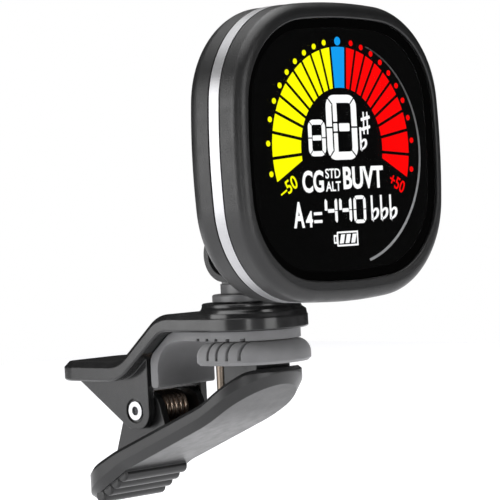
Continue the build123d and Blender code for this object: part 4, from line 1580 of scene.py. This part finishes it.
@dataclass
class WindowPrint:
    """Black field behind the lit segments and the plain grey arc on the back of the window, which is given
    a painted glow.

    The arc runs between two angles in degrees from the top. Its inner edge is shifted to thicken one side.
    """

    field_layer: PrintLayer = PrintLayer(DISPLAY_FRONT - FIELD_LIFT, centre_z=DISPLAY_MIDDLE - FIELD_DROP)
    arc_layer: PrintLayer = PrintLayer(WINDOW_BACK + ARC_GAP)
    field_size: Point = (43.3, 40.5)
    field_corner: float = 13.6
    arc_centre: Point = (1.16, -0.785)
    arc_radius: float = 18.94
    arc_line: float = 0.3
    arc_shift: Point = (-0.16, 0.12)
    arc_facets: int = 160
    arc_from: float = 17.0
    arc_to: float = 166.0
    film: float = 0.015

    def field(self) -> bpy.types.Object:
        """Black field that hides the display's glass edges."""
        field = self.field_layer.plate(0.0, 0.0, *self.field_size, self.field_corner)
        return joined("black_field", [field])

    def arc(self) -> bpy.types.Object:
        """Crescent between two circles, thickest on the right and open on the left.

        Returns:
            The flat piece.
        """
        arc = flat_disc(2 * self.arc_radius, self.arc_line, self.arc_facets)
        open_middle(arc)
        between = (self.arc_radius - self.arc_line / 2) * MM
        pick_vertices(arc, lambda vertex: vertex.co.length < between)
        bpy.ops.transform.translate(value=(*(Vector(self.arc_shift) * MM), 0.0))

        def outside_span(face: bmesh.types.BMFace) -> bool:
            """Whether a face is beyond the arc's two tips."""
            centre = face.calc_center_median()
            return not self.arc_from < math.degrees(math.atan2(centre.x, centre.y)) < self.arc_to

        pick_faces(arc, outside_span)
        bpy.ops.mesh.delete(type="FACE")
        return joined("printed_arc", [self.arc_layer.stood(arc, *self.arc_centre)])

    def build(self) -> list[bpy.types.Object]:
        """Model and dress the window's printing.

        Returns:
            Its pieces.
        """
        # The arc's ink carries a painted glow, darker towards the top.
        return coated(self.film, [(self.field(), FIELD_INK.material()), (self.arc(), ARC_INK_PAINTED_GLOW.material())])


@dataclass
class RearMarks:
    """Printed signs on the rear buttons and round the battery door.

    Radii are from the door's centre, and turns are degrees from its top.
    """

    film: float = 0.015
    line: float = 0.28
    power_ring_z: float = -0.1
    power_size: Point = (2.3, 2.3)
    power_corner: float = 1.1
    power_gap: float = 0.85
    power_gap_span: Point = (0.4, 1.6)
    power_bar_z: float = 0.75
    power_bar_length: float = 1.15
    mode_legend: Legend = Legend("M", left=-1.0, right=1.0, low=-0.95, high=0.95, weight=0.01)
    pitch_legend: Legend = Legend("Hz", left=-1.3, right=1.3, low=-0.8, high=0.8, weight=0.01)

    arrow_radius: float = 8.0
    arrow_dash: Point = (1.15, 0.3)
    arrow_reach: int = 26
    arrow_step: int = 8
    arrow_tip: Point = (4.15, 6.85)
    arrow_barb: Point = (0.3, 1.2)
    arrow_lean: float = 0.6

    dot_diameter: float = 0.9
    door_dot_radius: float = 9.9
    cover_mark_radius: float = 12.9
    open_mark_turn: float = -45.0
    open_mark_size: float = 1.2
    open_mark_corner: float = 0.58
    open_mark_line: float = 0.25

    def on_button(self, name: str) -> PrintLayer:
        """Layer on the cap of a button.

        Args:
            name: The button's CAD node.

        Returns:
            The layer.
        """
        low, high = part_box(name)
        middle = (low + high) / 2 / MM
        return PrintLayer(high.y / MM + self.film, middle.x, middle.z, Facing.REAR)

    def round_the_door(self, face: float) -> PrintLayer:
        """Layer centred on the battery door, on a face whose depth is given in metres."""
        return PrintLayer(face / MM + self.film, 0.0, joint_place("battery_door_turn")[2] / MM, Facing.REAR)

    def power_sign(self) -> bpy.types.Object:
        """Open ring with an upright bar through its gap.

        Returns:
            The flat sign.
        """
        layer = self.on_button("power_button")
        low, high = self.power_gap_span
        outline = layer.ring(0.0, self.power_ring_z, *self.power_size, self.power_corner, self.line)
        ring = joined("power_ring", [outline])
        bpy.ops.object.mode_set(mode="EDIT")
        layer.cut(ring, (0.0, low), (0.0, high), self.power_gap)
        bpy.ops.object.mode_set(mode="OBJECT")
        bar = layer.bar(0.0, self.power_bar_z, self.line, self.power_bar_length)
        return joined("power_sign", [ring, bar])

    def letter_sign(self, name: str, button: str, legend: Legend) -> bpy.types.Object:
        """Lettering on a button, as a piece of the given name."""
        return joined(name, [self.on_button(button).lettering(legend)])

    def door_marks(self) -> bpy.types.Object:
        """Index dot on the door's rim and a short turning arrow beside the coin slot.

        Returns:
            The flat marks.
        """
        layer = self.round_the_door(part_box("battery_door")[1].y)
        marks = []
        for side in (-1, 1):
            marks.append(layer.leaning_bar(*self.arrow_tip, *self.arrow_barb, side * self.arrow_lean))
        for angle in range(-self.arrow_reach, self.arrow_reach + 1, self.arrow_step):
            place = polar(self.arrow_radius, angle)
            marks.append(layer.bar(*place, *self.arrow_dash, math.radians(angle)))
        marks.append(layer.dot(0.0, self.door_dot_radius, self.dot_diameter))
        return joined("door_marks", marks)

    def cover_marks(self) -> bpy.types.Object:
        """Locked and open marks on the cover beside the door.

        Returns:
            The flat marks.
        """
        layer = self.round_the_door(joint_place("battery_door_turn")[1])
        size = self.open_mark_size
        open_place = polar(self.cover_mark_radius, self.open_mark_turn)
        locked = layer.dot(0.0, self.cover_mark_radius, self.dot_diameter)
        opened = layer.ring(*open_place, size, size, self.open_mark_corner, self.open_mark_line)
        return joined("cover_marks", [locked, opened])

    def build(self) -> dict[str, bpy.types.Object]:
        """Model and dress the marks.

        Returns:
            Each piece by the body that it rides on.
        """
        mode = self.letter_sign("mode_sign", "mode_button", self.mode_legend)
        pitch = self.letter_sign("pitch_sign", "pitch_button", self.pitch_legend)
        placed = {
            "power_button": self.power_sign(),
            "mode_button": mode,
            "pitch_button": pitch,
            "battery_door": self.door_marks(),
            "head": self.cover_marks(),
        }
        ink = SYMBOL_INK.material()
        coated(self.film, [(piece, ink) for piece in placed.values()])
        return placed


# ---- clip, neck and head ------------------------------------------------------------------
@dataclass
class SprungClip:
    """Two jaws with rubber pads, their pivot and the torsion spring between them.

    The bending stretch of the coil, in millimetres to each side, is not used. Vertices nearer than
    merge_reach in metres are one, and edges turn smooth below an angle in degrees.
    """

    spring_half: float = 3.16
    merge_reach: float = 1e-6
    smooth_below: float = 40.0

    def spring(self) -> bpy.types.Object:
        """Closed coil copied from its solid. The real coil winds up as the jaw opens; this copy is not made
        to wind.

        Returns:
            The piece.
        """
        source = frame["nodes"]["torsion_spring"]
        spring = copied(source)
        spring.parent = None
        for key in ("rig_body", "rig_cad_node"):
            del spring[key]
        take_up(spring)
        bpy.ops.object.mode_set(mode="EDIT")
        bpy.ops.mesh.select_all(action="SELECT")
        bpy.ops.mesh.remove_doubles(threshold=self.merge_reach)
        bpy.ops.object.mode_set(mode="OBJECT")
        spring.name = "wound_spring"
        spring.data.name = "wound_spring"
        bpy.ops.object.shade_smooth_by_angle(angle=math.radians(self.smooth_below))
        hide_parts("torsion_spring")
        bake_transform(spring)
        return spring

    def build(self) -> list[bpy.types.Object]:
        """Model the spring and dress the clip's parts.

        Returns:
            The modelled pieces.
        """
        dress_nodes(ARM_SKIN, "upper_arm")
        dress_nodes(LOWER_SKIN, "lower_arm")
        dress_nodes(PAD_SKIN, "upper_pad", "lower_pad")
        dress_nodes(POST_METAL, "pad_posts")
        dress_nodes(STEEL_METAL, "pivot_pin")
        spring = self.spring()
        dress(spring, SPRING_METAL.material())
        return [spring]


@dataclass
class SwivelNeck:
    """Swivelling neck with its washer and screw, and the tilt hinge's pin, nut and washers."""

    def build(self) -> list[bpy.types.Object]:
        """Dress the neck's parts.

        Returns:
            Nothing to report, as the neck needs no modelled pieces.
        """
        dress_nodes(NECK_SKIN, "swivel_neck")
        dress_nodes(LEAF_METAL, "swivel_washer")
        dress_nodes(STEEL_METAL, "swivel_screw", "hinge_pin", "hinge_nut")
        dress_nodes(NYLON_SKIN, "hinge_washers")
        return []


@dataclass
class TunerHead:
    """Case, display, electronics and controls of the head."""

    dial: CentsDial
    readout: Readout
    window_print: WindowPrint
    rear_marks: RearMarks

    def dress_case(self) -> None:
        """Dress the outside of the head."""
        dress_nodes(CASE_SKIN, "rear_cover", "front_bezel", "battery_door")
        dress_nodes(BUTTON_SKIN, "power_button", "mode_button", "pitch_button")
        dress_nodes(BAND_METAL, "trim_band")
        dress_nodes(WINDOW_SKIN, "display_window")
        dress_nodes(STEEL_METAL, "case_screws")

    def dress_inside(self) -> None:
        """Dress what the case encloses."""
        dress_nodes(DISPLAY_GLASS, "lcd_panel")
        dress_nodes(LIGHT_SKIN, "backlight_panel")
        dress_nodes(CONNECTOR_SKIN, "lcd_connector")
        dress_nodes(BOARD_SKIN, "circuit_board")
        dress_nodes(CHIP_SKIN, "controller_chip")
        dress_nodes(STEEL_METAL, "coin_cell")
        dress_nodes(LEAF_METAL, "negative_contact", "positive_contact", "tact_switches")
        dress_nodes(BRASS_METAL, "piezo_disc")

    def build(self) -> list[bpy.types.Object]:
        """Dress the head's parts and model its display and marks.

        Returns:
            The modelled pieces.
        """
        self.dress_case()
        self.dress_inside()
        pieces = [*self.dial.build(), *self.readout.build(), *self.window_print.build()]
        for piece in pieces:
            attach(piece, "head")
        for body, mark in self.rear_marks.build().items():
            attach(mark, body)
            pieces.append(mark)
        return pieces


# ---- studio -------------------------------------------------------------------------------
@dataclass(frozen=True)
class Softbox:
    """Rectangular soft light. Its place and size are metres and its power watts."""

    name: str
    place: Place
    size: Point
    power: float

    def light(self, target: Vector) -> bpy.types.Object:
        """Put the light up.

        Args:
            target: What it points at.

        Returns:
            The light's object.
        """
        lamp = bpy.data.lights.new(self.name, "AREA")
        lamp.shape = "RECTANGLE"
        lamp.size, lamp.size_y = self.size
        lamp.energy = self.power
        box = bpy.data.objects.new(self.name, lamp)
        box.location = self.place
        box.rotation_euler = (target - box.location).to_track_quat("-Z", "Y").to_euler()
        bpy.context.scene.collection.objects.link(box)
        return box


@dataclass
class Studio:
    """Pale floor, soft lights and the camera. Places are metres and angles degrees."""

    floor_z: float = -0.046
    floor_size: float = 1.1
    target: Place = (0.0, -0.01, 0.015)
    softboxes: tuple[Softbox, ...] = (
        Softbox("overhead_softbox", place=(0.0, 0.1, 0.9), size=(1.2, 1.2), power=12.6),
        Softbox("front_strip", place=(-0.08, -0.62, 0.06), size=(0.26, 0.5), power=1.6),
        Softbox("rear_side_softbox", place=(-0.62, 0.36, 0.08), size=(0.5, 0.5), power=3.3),
        Softbox("spring_glint", place=(-0.42, -0.33, 0.02), size=(0.08, 0.08), power=0.16),
    )
    camera_place: Place = (-0.28636, -0.28858, 0.02321)
    camera_turn: Place = (45.73, 1.11, 2.94)
    lens: float = 164.66
    sensor: float = 36.0
    surround: float = 0.03

    def floor(self) -> bpy.types.Object:
        """Broad floor with a finely mottled paper finish.

        Returns:
            The floor.
        """
        deselect_all()
        bpy.ops.mesh.primitive_plane_add(size=self.floor_size, location=(0.0, 0.0, self.floor_z))
        floor = bpy.context.object
        floor.name = "studio_floor"
        dress(floor, BACKDROP_PAPER.material())
        return floor

    def lights(self) -> None:
        """Put up every softbox, each aimed at the object."""
        for softbox in self.softboxes:
            softbox.light(Vector(self.target))

    def world(self) -> None:
        """Even pale surround, paler where it is seen directly."""
        world = bpy.data.worlds.new("studio_surround")
        world.use_nodes = True
        nodes, links = world.node_tree.nodes, world.node_tree.links
        nodes.clear()
        ray = nodes.new("ShaderNodeLightPath")
        ray.label = "Seen or lighting"
        seen = nodes.new("ShaderNodeBackground")
        seen.label = "White backdrop"
        fill = nodes.new("ShaderNodeBackground")
        fill.label = "Soft fill"
        choice = nodes.new("ShaderNodeMixShader")
        choice.label = "Backdrop or fill"
        output = nodes.new("ShaderNodeOutputWorld")
        output.label = "Surround"
        for column, node in enumerate((ray, seen, fill, choice, output)):
            node.location = (column * COLUMN, 0)
        seen.inputs["Color"].default_value = (1.0, 1.0, 1.0, 1.0)
        fill.inputs["Color"].default_value = (1.0, 1.0, 1.0, 1.0)
        fill.inputs["Strength"].default_value = self.surround
        links.new(ray.outputs["Is Camera Ray"], choice.inputs["Fac"])
        links.new(fill.outputs["Background"], choice.inputs[1])
        links.new(seen.outputs["Background"], choice.inputs[2])
        links.new(choice.outputs["Shader"], output.inputs["Surface"])
        bpy.context.scene.world = world

    def camera(self) -> bpy.types.Object:
        """Camera at the viewing place, set as the scene's own.

        Returns:
            The camera's object.
        """
        yaw, pitch, roll = (math.radians(angle) for angle in self.camera_turn)
        lens = bpy.data.cameras.new("product_camera")
        lens.lens = self.lens
        lens.sensor_width = self.sensor
        camera = bpy.data.objects.new("product_camera", lens)
        level = Matrix.Rotation(math.pi / 2, 4, "X")
        turned = Matrix.Rotation(-yaw, 4, "Y") @ Matrix.Rotation(-pitch, 4, "X")
        aim = turned @ Matrix.Rotation(-roll, 4, "Z")
        camera.matrix_world = Matrix.Translation(self.camera_place) @ level @ aim
        bpy.context.scene.collection.objects.link(camera)
        bpy.context.scene.camera = camera
        return camera

    def build(self) -> None:
        """Set up the floor, lights, surround, camera and plain colour handling."""
        self.floor()
        self.lights()
        self.world()
        self.camera()
        bpy.context.scene.view_settings.view_transform = "Standard"


def main() -> None:
    """Build the sub-assemblies in order and report each piece."""
    logging.basicConfig(level=logging.INFO, format="%(name)s: %(message)s")
    head = TunerHead(CentsDial(), Readout(), WindowPrint(), RearMarks())
    for assembly in (SprungClip(), SwivelNeck(), head):
        for piece in assembly.build():
            LOG.info("%s: %s, %d faces", type(assembly).__name__, piece.name, len(piece.data.polygons))
    Studio().build()


if __name__ == "__main__":
    main()
